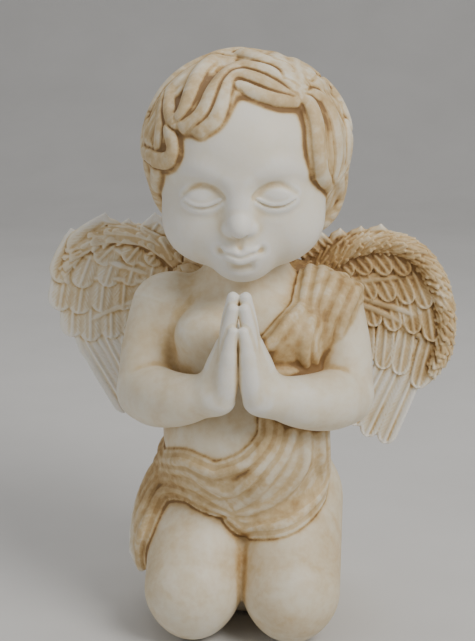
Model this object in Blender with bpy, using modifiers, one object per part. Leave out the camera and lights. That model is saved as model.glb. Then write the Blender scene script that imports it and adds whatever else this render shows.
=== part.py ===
"""A kneeling, praying cherub cast in resin: the castings, their glue dowels, the base plug and the felt pads.

The figure faces -Y and its left side is +X. Z is up from the surface it stands on. Shapes are designed in
millimetres, with Y measured from the figure's spine line, which at() moves so that the whole object's box is
centred on the origin.
"""

import math

import bmesh
import bpy
from mathutils import Matrix, Vector

MM = 0.001
SPINE_Y = -13.0  # the spine line, behind the knees and in front of the toes, seen from the box's centre
GLUE_GAP = 0.4  # between a casting and the seat that it is glued into
FELT_THICKNESS = 1.2
SOLE_Z = FELT_THICKNESS + 0.3  # underside of the body casting
PAD_RADIUS = 6.5
PLUG_RADIUS = 17.0
PLUG_THICKNESS = 5.0
PLUG_Y = 20.0
PLUG_RECESS = 0.5  # how far up inside the sole its underside is
SPIGOT = ((0, 2, 202), (0, 2, 182))  # the head's neck peg, top and bottom
SPIGOT_RADIUS = 12.0
SPIGOT_BOTTOM_Z = 168.0
SPIGOT_BORE = 6.0  # radius of the hole through it, which vents the hollow head
WING_DOWEL_RADIUS = 2.5
WING_DOWEL_ENDS = ((21, 19.1), (25, 40.1))  # (x, y) in the body and in the wing
WING_DOWEL_LEVELS = {"upper": 170, "lower": 153}
ARM_DOWEL_RADIUS = 3.0
ARM_DOWEL_ENDS = ((19, 5, 158), (42, 3, 156))
NECK_CLEARANCE = 16  # half the width of what is cut away under the neck spigot
PAD_PLACES = {"knee": (24, -30), "foot": (22, 58)}
BEYOND = 140  # farther out than any part of the figure

LEFT, RIGHT = 1, -1  # the figure's own sides

# For each kind of casting: the grid its shapes are melted on in mm, the smoothing passes, and its triangles.
SKIN = {
    "body": (1.7, 12, 3400),
    "head": (1.5, 10, 2300),
    "arm": (1.0, 5, 1100),
    "wing": (1.1, 3, 1500),
    "torso_hollow": (2.5, 6, 500),
    "skull_hollow": (2.5, 6, 300),
}
RESIN = {"name": "antiqued_resin", "colour": (0.80, 0.76, 0.68, 1), "roughness": 0.6, "metallic": 0.0}
STEEL = {"name": "dowel_steel", "colour": (0.55, 0.56, 0.58, 1), "roughness": 0.35, "metallic": 1.0}
FELT = {"name": "felt", "colour": (0.25, 0.19, 0.14, 1), "roughness": 0.95, "metallic": 0.0}

# Masses are (centre, radii) ellipsoids. Limbs are (start, start radius, end, end radius) round cones. Ropes are
# (point, radius) stops of a smooth tube.
TORSO_MASSES = [
    ((0, 14, 62), (46, 39, 36)),
    ((0, -2, 97), (42, 42, 36)),
    ((0, 2, 140), (41, 36, 36)),
    ((0, 24, 22), (36, 46, 30)),
]
TORSO_LIMBS = [
    ((-33, 6, 159), 16, (33, 6, 159), 16),
    ((0, 5, 160), 21, (0, 3, 188), 18),
]
# One side's masses; the other side mirrors them.
LEG_MASSES = [((19, 36, 50), (27, 26, 26))]
LEG_LIMBS = [
    ((21, 10, 57), 28, (24, -31, 26), 24),
    ((24, -33, 18), 17.5, (23, 48, 15), 13.5),
]
FOOT = [((23, 46, 15), 13), ((22, 66, 12), 11.5), ((21, 79.6, 8.5), 8.9)]
ARM_LIMBS = [
    ((38, 5, 157), 17.3, (44, -12, 123), 14.8),
    ((44, -13, 121), 14.8, (28, -37, 123.5), 12.0),
    ((28, -37, 123.5), 12.0, (12, -47, 131), 9.6),
]
PALM = ((10, -48, 134), 8.8, (7, -50.5, 153), 7)
FINGERS = [  # from the little finger, which is in front, to the index finger, and the thumb behind them
    ((6, -54, 134), 6.6, (4.6, -57.4, 148), 4.9),
    ((4.8, -57.6, 148), 4.9, (2.9, -57.8, 162), 3.4),
    ((6, -54, 150), 4.4, (3.1, -54.8, 171.6), 3.5),
    ((6.4, -50, 152), 4.6, (3.2, -51.2, 176.4), 3.6),
    ((6.4, -46, 150), 4.5, (3.2, -47.8, 173.4), 3.5),
    ((9, -42, 137), 5.8, (4.3, -39, 158), 4.0),
]
HAIR_MASS = ((0.5, 6.8, 239.2), (49.8, 52.6, 44.2))
HEAD_MASSES = [
    HAIR_MASS,
    ((0, -2.3, 217.4), (38.7, 38, 36)),
    ((0, -23.5, 186), (12.5, 11.5, 9.5)),
    ((1, 21.3, 214.6), (42, 36, 34)),
    ((0, 4.5, 198), (28, 30, 17)),
]
CHEEK = ((18.5, -16.4, 203.2), (18.5, 17.5, 16.5))
NOSE = ((0, -39.5, 206.3), (5.5, 6, 5))
# Locks over the hair mass, as (turn from the front towards the left, angle down from the crown) in degrees.
FRONT_LOCKS = [
    [(35, 36), (8, 34), (-22, 42), (-42, 60), (-50, 74)],
    [(35, 38), (58, 50), (70, 70), (70, 88), (66, 104)],
    [(-40, 44), (-64, 58), (-74, 80), (-70, 100)],
]
LOCK_RADIUS, LOCK_SINK = 6.5, 5.2
BACK_LOCK_TURNS = range(96, 265, 28)
BACK_LOCK_STOPS = [(0, 14), (10, 48), (-5, 84), (4, 116)]  # turn past the lock's own, and angle down
# The shoulder sash and hip wrap, as the ropes of cloth that carry their folds.
DRAPE_ROPES = [
    [((34, 16, 172), 5), ((24, -16, 165), 5), ((20, -33, 140), 5), ((26, -42, 108), 5), ((22, -43, 84), 5),
     ((-2, -41, 66), 5)],
    [((42, 12, 166), 5), ((34, -14, 157), 5), ((32, -30, 132), 5), ((34, -38, 102), 5), ((28, -39, 74), 5),
     ((0, -42, 60), 5)],
    [((0, -41, 68), 5), ((-20, -38, 82), 5), ((-40, -22, 84), 5), ((-49, 4, 64), 5), ((-52, 8, 40), 4.5)],
    [((2, -42, 60), 5), ((-20, -43, 72), 5), ((-44, -26, 72), 5), ((-51, -4, 50), 5), ((-52, -6, 32), 4.5)],
    [((-46, 6, 80), 4.5), ((-34, 42, 84), 4.5), ((-6, 45, 99), 4.5), ((20, 40, 126), 4.5), ((36, 29, 152), 4.5),
     ((37, 12, 167), 4.5)],
    [((-48, 6, 67), 4.5), ((-34, 51, 70), 4.5), ((0, 54, 80), 4.5), ((28, 44, 106), 4.5), ((45, 26, 138), 4.5),
     ((46, 8, 164), 4.5)],
]
ROPE_STEPS = 20  # straight runs that make one rope's curve
CAVITY_MASSES = [
    ((0, 16, 60), (32, 24, 26)),
    ((0, 2, 98), (28, 26, 28)),
    ((0, 5, 134), (17, 18, 20)),
]
SKULL_MASSES = [
    ((0, 6, 237), (35, 36, 31)),
    ((0, -4, 216), (23, 23, 20)),
]

# Each wing is drawn for the left side as (x, z) on its middle surface, which is cupped towards the front.
WING_Y, WING_SWEEP, WING_CUP, WING_DROOP = 38.0, 8.0, 11.0, 7.0
WING_START, WING_SPAN, WING_TOP, WING_DROP = 26.0, 75.0, 184.0, 90.0
WING_ROOT = ((22, 31, 168), 8.5, (28, 34, 150), 7)
LEADING_EDGE = {  # (x, z) and radius
    LEFT: [((30, 168), 8), ((48, 181), 7.4), ((66, 185), 6.8), ((82, 180.5), 6.6), ((93.5, 167), 6.4),
           ((99.5, 149), 6.2), ((98, 130), 5.6), ((90, 115), 4)],
    RIGHT: [((30, 168), 8), ((46, 183), 6.6), ((62, 188), 5.6), ((78, 184), 5.2), ((90, 172), 4.6),
            ((94, 158), 4)],
}
# Rows of feathers: their tips, how many degrees the inner and the outer one lean outwards, length and width.
FEATHER_ROWS = {
    RIGHT: [
        ([(50, 103), (56.5, 98), (63, 94.6)], (-24, -31), 52, 13.5),
        ([(51, 135), (61.5, 134), (72, 133), (83, 131.5), (92.5, 134)], (-4, 3), 31, 16),
        ([(46, 150), (55.5, 149), (66, 148), (77.5, 147), (89, 146), (101, 148)], (0, 11), 29, 16.5),
        ([(44, 163), (52, 162), (63, 161), (75, 160.5), (88.5, 160), (101.5, 163)], (10, 24), 28, 16.5),
        ([(40, 173), (52, 172), (64, 173), (79, 173), (94, 178)], (26, 52), 27, 16.5),
        ([(38, 181), (50, 183), (64, 186), (78, 190)], (50, 72), 22, 14),
    ],
    LEFT: [
        ([(53, 90), (59.5, 84.5), (68.5, 81)], (-26, -22), 58, 12.5),
        ([(50, 124), (58.5, 122), (67.5, 119.5), (76, 117), (86, 110)], (4, -12), 33, 13.5),
        ([(46, 144), (54, 143), (63.5, 141.5), (73.5, 139.5), (83.5, 138.5), (93, 135)], (16, 10), 31, 15.2),
        ([(44, 157), (52.5, 156.5), (62, 155.5), (71.5, 155), (81, 154), (90, 152)], (34, 24), 29, 13.5),
        ([(42, 167), (51, 168), (60, 169), (70, 169), (79.5, 169)], (46, 36), 27, 13),
    ],
}
FEATHER_THICKNESS = (4.6, 0.8)  # of the lowest row, and what each row above it adds


def at(point):
    """A design point in millimetres as a point of the scene."""
    x, y, z = point
    return Vector((x, y + SPINE_Y, z)) * MM


def mirrored(point, side):
    return (side * point[0], point[1], point[2])


def add_mass(mesh, centre, radii):
    """An ellipsoid."""
    place = Matrix.Translation(at(centre)) @ Matrix.Diagonal((*[r * MM for r in radii], 1))
    bmesh.ops.create_uvsphere(mesh, u_segments=24, v_segments=16, radius=1, matrix=place)


def add_limb(mesh, start, start_radius, end, end_radius):
    """A round cone: a ball at each end and a cone between them."""
    add_mass(mesh, start, (start_radius,) * 3)
    add_mass(mesh, end, (end_radius,) * 3)
    line = at(end) - at(start)
    place = Matrix.Translation(at(start) + line / 2) @ line.to_track_quat("Z", "Y").to_matrix().to_4x4()
    bmesh.ops.create_cone(
        mesh,
        cap_ends=True,
        segments=28,
        radius1=start_radius * MM,
        radius2=end_radius * MM,
        depth=line.length,
        matrix=place,
    )


def point_along(points, share):
    """A point a share of the way along a Catmull-Rom spline through rows of two or more numbers."""
    place = min(max(share, 0.0), 1.0) * (len(points) - 1)
    i = min(int(place), len(points) - 2)
    t = place - i
    p0, p1, p2, p3 = (Vector(points[min(max(k, 0), len(points) - 1)]) for k in (i - 1, i, i + 1, i + 2))
    linear = (p2 - p0) * t
    square = (2 * p0 - 5 * p1 + 4 * p2 - p3) * t**2
    cube = (3 * p1 - p0 - 3 * p2 + p3) * t**3
    return 0.5 * (2 * p1 + linear + square + cube)


def add_rope(mesh, stops, side=1):
    """A round-ended tube along a smooth curve through (point, radius) stops."""
    rows = [(*mirrored(point, side), radius) for point, radius in stops]
    for row in (rows[0], rows[-1]):
        add_mass(mesh, row[:3], (row[3],) * 3)
    curve = bpy.data.curves.new("rope", "CURVE")
    curve.dimensions = "3D"
    curve.bevel_depth = MM
    curve.bevel_resolution = 4
    curve.use_fill_caps = True
    spline = curve.splines.new("POLY")
    spline.points.add(ROPE_STEPS)
    for i, point in enumerate(spline.points):
        row = point_along(rows, i / ROPE_STEPS)
        point.co = (*at(row[:3]), 1)
        point.radius = row[3]
    rope = bpy.data.objects.new("rope", curve)
    bpy.context.scene.collection.objects.link(rope)
    bpy.context.view_layer.update()
    tube = bpy.data.meshes.new_from_object(rope.evaluated_get(bpy.context.evaluated_depsgraph_get()))
    mesh.from_mesh(tube)
    bpy.data.objects.remove(rope)


def material(spec):
    made = bpy.data.materials.new(spec["name"])
    made.use_nodes = True
    shader = made.node_tree.nodes["Principled BSDF"]
    shader.inputs["Base Color"].default_value = spec["colour"]
    shader.inputs["Roughness"].default_value = spec["roughness"]
    shader.inputs["Metallic"].default_value = spec["metallic"]
    made.diffuse_color = spec["colour"]
    return made


def new_object(name, mesh, collection):
    data = bpy.data.meshes.new(name)
    mesh.to_mesh(data)
    mesh.free()
    obj = bpy.data.objects.new(name, data)
    collection.objects.link(obj)
    return obj


def freeze(obj):
    """Replaces the object's mesh by what its modifiers make of it."""
    bpy.context.view_layer.update()
    graph = bpy.context.evaluated_depsgraph_get()
    made = bpy.data.meshes.new_from_object(obj.evaluated_get(graph))
    obj.modifiers.clear()
    obj.data = made
    return obj


def clay(name, mesh, kind, collection):
    """Melts overlapping shapes into one smooth skin."""
    voxel, smoothing, faces = SKIN[kind]
    obj = new_object(name, mesh, collection)
    melt = obj.modifiers.new("melt", "REMESH")
    melt.mode = "VOXEL"
    melt.voxel_size = voxel * MM
    smooth = obj.modifiers.new("smooth", "SMOOTH")
    smooth.factor = 0.5
    smooth.iterations = smoothing
    freeze(obj)
    obj.data.calc_loop_triangles()
    thin = obj.modifiers.new("thin", "DECIMATE")
    thin.ratio = faces / len(obj.data.loop_triangles)
    thin.use_collapse_triangulate = True
    return freeze(obj)


def cylinder(name, start, end, radius, collection, segments=24):
    """A round bar between two design points."""
    mesh = bmesh.new()
    line = at(end) - at(start)
    place = Matrix.Translation(at(start) + line / 2) @ line.to_track_quat("Z", "Y").to_matrix().to_4x4()
    bmesh.ops.create_cone(
        mesh,
        cap_ends=True,
        segments=segments,
        radius1=radius * MM,
        radius2=radius * MM,
        depth=line.length,
        matrix=place,
    )
    return new_object(name, mesh, collection)


def block(name, low, high, collection):
    mesh = bmesh.new()
    size = Vector([h - l for l, h in zip(low, high)]) * MM
    centre = (at(low) + at(high)) / 2
    bmesh.ops.create_cube(mesh, size=1, matrix=Matrix.Translation(centre) @ Matrix.Diagonal((*size, 1)))
    return new_object(name, mesh, collection)


def grown(obj, by, collection):
    """A cutter the shape of another piece, with this much more all round."""
    cutter = bpy.data.objects.new(obj.name + "_seat", obj.data.copy())
    collection.objects.link(cutter)
    swell = cutter.modifiers.new("swell", "DISPLACE")
    swell.mid_level = 0
    swell.strength = by * MM
    return freeze(cutter)


def boolean(obj, other, operation="DIFFERENCE"):
    step = obj.modifiers.new(other.name, "BOOLEAN")
    step.operation = operation
    step.solver = "EXACT"
    step.object = other
    other.hide_render = True
    other.display_type = "WIRE"
    return freeze(obj)


def wing_point(x, z):
    """A point of the wing's middle surface."""
    share = (x - WING_START) / WING_SPAN
    depth = WING_Y + WING_SWEEP * share - WING_CUP * share**2 - WING_DROOP * ((WING_TOP - z) / WING_DROP) ** 2
    return Vector((x, depth, z))


def add_feather(mesh, tip, lean, length, width, thickness, side):
    """A flattened ellipsoid on the wing's surface, from its tip back along its lean."""
    x, z = tip
    end = wing_point(x, z)
    start = wing_point(x - math.sin(lean) * length, z + math.cos(lean) * length)
    flow = (end - start).normalized()
    span = (wing_point(x + 1, z) - wing_point(x - 1, z)).normalized()
    normal = flow.cross(span).normalized()
    span = normal.cross(flow)
    half_sizes = (span * width / 2, normal * side * thickness / 2, flow * length / 2)
    axes = [Vector(mirrored(axis, side)) * MM for axis in half_sizes]
    place = Matrix(axes).transposed().to_4x4()
    place.translation = at(mirrored((start + end) / 2, side))
    bmesh.ops.create_uvsphere(mesh, u_segments=20, v_segments=14, radius=1, matrix=place)


def make_wing(name, side, collection):
    mesh = bmesh.new()
    thinnest, step = FEATHER_THICKNESS
    for level, (tips, (inner, outer), length, width) in enumerate(FEATHER_ROWS[side]):
        for i, tip in enumerate(tips):
            lean = math.radians(inner + (outer - inner) * i / (len(tips) - 1))
            add_feather(mesh, tip, lean, length, width, thinnest + step * level, side)
    edge = [(wing_point(*place), radius) for place, radius in LEADING_EDGE[side]]
    add_rope(mesh, [WING_ROOT[:2], *edge], side)
    start, start_radius, end, end_radius = WING_ROOT
    add_limb(mesh, mirrored(start, side), start_radius, mirrored(end, side), end_radius)
    return clay(name, mesh, "wing", collection)


def make_arm(name, side, collection):
    mesh = bmesh.new()
    for start, start_radius, end, end_radius in [*ARM_LIMBS, PALM, *FINGERS]:
        add_limb(mesh, mirrored(start, side), start_radius, mirrored(end, side), end_radius)
    return clay(name, mesh, "arm", collection)


def on_hair(turn, down):
    """A point just under the hair mass's surface."""
    centre, radii = HAIR_MASS
    turn, down = math.radians(turn), math.radians(down)
    outward = (math.sin(turn) * math.sin(down), -math.cos(turn) * math.sin(down), math.cos(down))
    return tuple(c + (r - LOCK_SINK) * o for c, r, o in zip(centre, radii, outward))


def make_head(collection):
    mesh = bmesh.new()
    for centre, radii in HEAD_MASSES:
        add_mass(mesh, centre, radii)
    for side in (LEFT, RIGHT):
        add_mass(mesh, mirrored(CHEEK[0], side), CHEEK[1])
    back_locks = [[(turn + past, down) for past, down in BACK_LOCK_STOPS] for turn in BACK_LOCK_TURNS]
    for lock in FRONT_LOCKS + back_locks:
        add_rope(mesh, [(on_hair(*stop), LOCK_RADIUS) for stop in lock])
    top, bottom = SPIGOT
    add_limb(mesh, top, SPIGOT_RADIUS, bottom, SPIGOT_RADIUS)
    add_mass(mesh, *NOSE)
    return clay("head", mesh, "head", collection)


def make_body(collection):
    mesh = bmesh.new()
    for centre, radii in TORSO_MASSES:
        add_mass(mesh, centre, radii)
    for limb in TORSO_LIMBS:
        add_limb(mesh, *limb)
    for side in (LEFT, RIGHT):
        for centre, radii in LEG_MASSES:
            add_mass(mesh, mirrored(centre, side), radii)
        for start, start_radius, end, end_radius in LEG_LIMBS:
            add_limb(mesh, mirrored(start, side), start_radius, mirrored(end, side), end_radius)
        add_rope(mesh, FOOT, side)
    for rope in DRAPE_ROPES:
        add_rope(mesh, rope)
    return clay("body", mesh, "body", collection)


def make_hollow(name, masses, collection):
    """A cutter that leaves a casting's wall of resin round it."""
    mesh = bmesh.new()
    for centre, radii in masses:
        add_mass(mesh, centre, radii)
    return clay(name, mesh, name, collection)


def make_dowel(name, start, end, radius, holes_in, parts, cutters):
    """A steel pin, and its hole in each casting that it joins."""
    hole = cylinder(name + "_hole", start, end, radius + GLUE_GAP, cutters, 16)
    stretch = (at(end) - at(start)).normalized() * GLUE_GAP * MM
    for vertex in hole.data.vertices:
        outward = 1 if (vertex.co - (at(start) + at(end)) / 2).dot(stretch) > 0 else -1
        vertex.co += stretch * outward
    for casting in holes_in:
        boolean(casting, hole)
    return cylinder(name, start, end, radius, parts, 16)


def clear_scene():
    for obj in list(bpy.data.objects):
        bpy.data.objects.remove(obj)


def new_collection(name):
    made = bpy.data.collections.new(name)
    bpy.context.scene.collection.children.link(made)
    return made


def main():
    clear_scene()
    parts = new_collection("angel_figurine")
    cutters = new_collection("cutters")
    cutters.hide_render = True

    body = make_body(parts)
    head = make_head(parts)
    arms = {side: make_arm(name, side, parts) for name, side in (("arm_left", LEFT), ("arm_right", RIGHT))}
    wings = {side: make_wing(name, side, parts) for name, side in (("wing_left", LEFT), ("wing_right", RIGHT))}

    # The palms meet at the middle plane, and everything stands on its own flat underside.
    for side, arm in arms.items():
        low, high = sorted((side * GLUE_GAP / 2, -side * BEYOND))
        boolean(arm, block(arm.name + "_palm_plane", (low, -BEYOND, 0), (high, BEYOND, 2 * BEYOND), cutters))
    boolean(body, block("ground", (-BEYOND, -BEYOND, -BEYOND), (BEYOND, BEYOND, SOLE_Z), cutters))

    # The neck spigot goes into a socket in the body. The skull is hollow, and open through the spigot.
    spigot_x, spigot_y, spigot_top = SPIGOT[0]
    under = [(spigot_x - NECK_CLEARANCE, spigot_y - 2 * NECK_CLEARANCE, 0),
             (spigot_x + NECK_CLEARANCE, spigot_y + 2 * NECK_CLEARANCE, SPIGOT_BOTTOM_Z)]
    boolean(head, block("head_under", *under, cutters))
    boolean(head, make_hollow("skull_hollow", SKULL_MASSES, cutters))
    bore_low, bore_high = SPIGOT_BOTTOM_Z - SPIGOT_BORE, spigot_top + SPIGOT_BORE
    bore_ends = ((spigot_x, spigot_y, bore_low), (spigot_x, spigot_y, bore_high))
    boolean(head, cylinder("spigot_bore", *bore_ends, SPIGOT_BORE, cutters))

    boolean(body, make_hollow("torso_hollow", CAVITY_MASSES, cutters))
    hole_ends = ((0, PLUG_Y, -PLUG_THICKNESS), (0, PLUG_Y, CAVITY_MASSES[0][0][2]))
    boolean(body, cylinder("pour_hole", *hole_ends, PLUG_RADIUS + GLUE_GAP, cutters, 40))
    for casting in (head, arms[LEFT], arms[RIGHT], wings[LEFT], wings[RIGHT]):
        boolean(body, grown(casting, GLUE_GAP, cutters))
    for side in (LEFT, RIGHT):
        for neighbour in (arms[side], head):
            boolean(wings[side], grown(neighbour, GLUE_GAP, cutters))

    pins = []
    for label, side in (("left", LEFT), ("right", RIGHT)):
        for level, z in WING_DOWEL_LEVELS.items():
            start, end = (mirrored((*place, z), side) for place in WING_DOWEL_ENDS)
            name = f"wing_{label}_dowel_{level}"
            pins.append(make_dowel(name, start, end, WING_DOWEL_RADIUS, [body, wings[side]], parts, cutters))
        start, end = (mirrored(place, side) for place in ARM_DOWEL_ENDS)
        name = f"arm_{label}_dowel"
        pins.append(make_dowel(name, start, end, ARM_DOWEL_RADIUS, [body, arms[side]], parts, cutters))

    plug_bottom = SOLE_Z + PLUG_RECESS
    plug_ends = ((0, PLUG_Y, plug_bottom), (0, PLUG_Y, plug_bottom + PLUG_THICKNESS))
    plug = cylinder("base_plug", *plug_ends, PLUG_RADIUS, parts, 40)
    pads = []
    for label, side in (("left", LEFT), ("right", RIGHT)):
        for where, (x, y) in PAD_PLACES.items():
            pad_ends = ((side * x, y, 0), (side * x, y, FELT_THICKNESS))
            pads.append(cylinder(f"felt_pad_{where}_{label}", *pad_ends, PAD_RADIUS, parts))

    resin, steel, felt = material(RESIN), material(STEEL), material(FELT)
    for pieces, finish in (
        ([body, head, *arms.values(), *wings.values(), plug], resin),
        (pins, steel),
        (pads, felt),
    ):
        for obj in pieces:
            obj.data.materials.clear()
            obj.data.materials.append(finish)
            obj.data.shade_smooth()
            obj.data.set_sharp_from_angle(angle=math.radians(40))


main()
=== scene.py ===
"""The looks of the kneeling resin cherub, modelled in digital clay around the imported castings.

Each casting is carved as a signed distance field on a grid, in millimetres: shapes are added and cut with
soft edges, as clay is, and the field's zero surface becomes the mesh. The figure faces -Y and its left side
is +X. Design points give Y from the figure's spine line, which the base plug's centre fixes. Cloth folds and
front locks are drawn on a sheet that faces the main camera, and dropped from there onto the clay.
"""

import itertools
import math

import bmesh
import bpy
import numpy as np
import openvdb
from mathutils import Matrix, Vector


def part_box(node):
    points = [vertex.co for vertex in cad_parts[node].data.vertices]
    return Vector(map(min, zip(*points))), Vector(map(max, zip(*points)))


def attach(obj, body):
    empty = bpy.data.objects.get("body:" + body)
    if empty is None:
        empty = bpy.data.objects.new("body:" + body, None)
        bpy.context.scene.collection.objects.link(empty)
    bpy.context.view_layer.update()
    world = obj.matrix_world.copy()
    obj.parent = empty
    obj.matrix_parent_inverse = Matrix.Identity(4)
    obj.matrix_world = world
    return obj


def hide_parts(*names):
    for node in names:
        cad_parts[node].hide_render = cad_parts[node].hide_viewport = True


MM = 0.001
FAR = 24.0  # distance, in mm, that stands for empty space
REACH = 2.4  # how far past a shape its own distances are still written
LEFT, RIGHT = 1, -1  # the figure's own sides

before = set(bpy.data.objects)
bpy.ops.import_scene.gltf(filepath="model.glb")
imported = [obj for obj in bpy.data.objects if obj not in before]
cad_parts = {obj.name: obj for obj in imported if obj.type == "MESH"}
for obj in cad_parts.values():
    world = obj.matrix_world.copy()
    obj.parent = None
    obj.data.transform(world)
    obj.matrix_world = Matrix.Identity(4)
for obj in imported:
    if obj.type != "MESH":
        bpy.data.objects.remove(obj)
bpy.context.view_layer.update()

PLUG_BEHIND_SPINE = 20.0  # how far behind the spine line the base plug's centre lies
plug_low, plug_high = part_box("base_plug")
SPINE_Y = (plug_low.y + plug_high.y) / 2 / MM - PLUG_BEHIND_SPINE
SOLE_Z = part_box("body")[0].z / MM
GRAIN = 1.0  # voxels grow by this while trying things
GUIDE_VOXEL = 2.5  # grain of the plain blocks that curves are dropped onto, and of the crowding blocks

# ---------------------------------------------------------------- the sheet that faces the camera

CAMERA_TURN, CAMERA_RISE = math.radians(4.0), math.radians(14.0)
CAMERA_DISTANCE = 770.0
SHEET_CENTRE = (-4.4, 148.0)  # the middle of the picture, in mm on the sheet
SHEET_HEIGHT = 328.2  # what the picture shows of the sheet, in mm

SHEET_X = np.array([math.cos(CAMERA_TURN), math.sin(CAMERA_TURN), 0])
LINE_OF_SIGHT = np.array([
    -math.sin(CAMERA_TURN) * math.cos(CAMERA_RISE),
    math.cos(CAMERA_TURN) * math.cos(CAMERA_RISE),
    -math.sin(CAMERA_RISE),
])
SHEET_Y = np.cross(SHEET_X, LINE_OF_SIGHT)
CAMERA = SHEET_X * SHEET_CENTRE[0] + SHEET_Y * SHEET_CENTRE[1] - LINE_OF_SIGHT * CAMERA_DISTANCE


def sight_lines(drawn):
    """From the camera, the directions to points drawn on the sheet."""
    drawn = np.asarray(drawn, float)
    towards = drawn[:, :1] * SHEET_X + drawn[:, 1:2] * SHEET_Y - CAMERA
    return towards / np.linalg.norm(towards, axis=1, keepdims=True)


# ---------------------------------------------------------------- clay


def smooth_min(a, b, blend):
    """The nearer of two distances, with their corner filled over this width, which may be a grid."""
    if np.isscalar(blend) and blend <= 0:
        return np.minimum(a, b)
    near = np.maximum(blend - np.abs(a - b), 0) / blend
    return np.minimum(a, b) - near * near * (blend * 0.25)


class Shape:
    """A distance function of x, y and z grids, with the box that holds its surface."""

    def __init__(self, distance, low, high):
        self.distance = distance
        self.low = np.array(low, float)
        self.high = np.array(high, float)


def ellipsoid(centre, radii):
    def distance(x, y, z):
        x, y, z = x - centre[0], y - centre[1], z - centre[2]
        a, b, c = radii
        k0 = np.sqrt((x / a) ** 2 + (y / b) ** 2 + (z / c) ** 2)
        k1 = np.sqrt((x / a**2) ** 2 + (y / b**2) ** 2 + (z / c**2) ** 2)
        return k0 * (k0 - 1) / np.maximum(k1, 1e-4)

    return Shape(distance, np.array(centre) - radii, np.array(centre) + radii)


def ball(centre, radius):
    return ellipsoid(centre, (radius,) * 3)


def limb(start, start_radius, end, end_radius):
    """A round cone between two balls."""
    a, b = np.array(start, float), np.array(end, float)
    line = b - a
    length2 = max(float(line @ line), 1e-9)

    def distance(x, y, z):
        x, y, z = x - a[0], y - a[1], z - a[2]
        t = np.clip((x * line[0] + y * line[1] + z * line[2]) / length2, 0, 1)
        away = np.sqrt((x - t * line[0]) ** 2 + (y - t * line[1]) ** 2 + (z - t * line[2]) ** 2)
        return away - (start_radius + (end_radius - start_radius) * t)

    grow = max(start_radius, end_radius)
    return Shape(distance, np.minimum(a, b) - grow, np.maximum(a, b) + grow)


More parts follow.
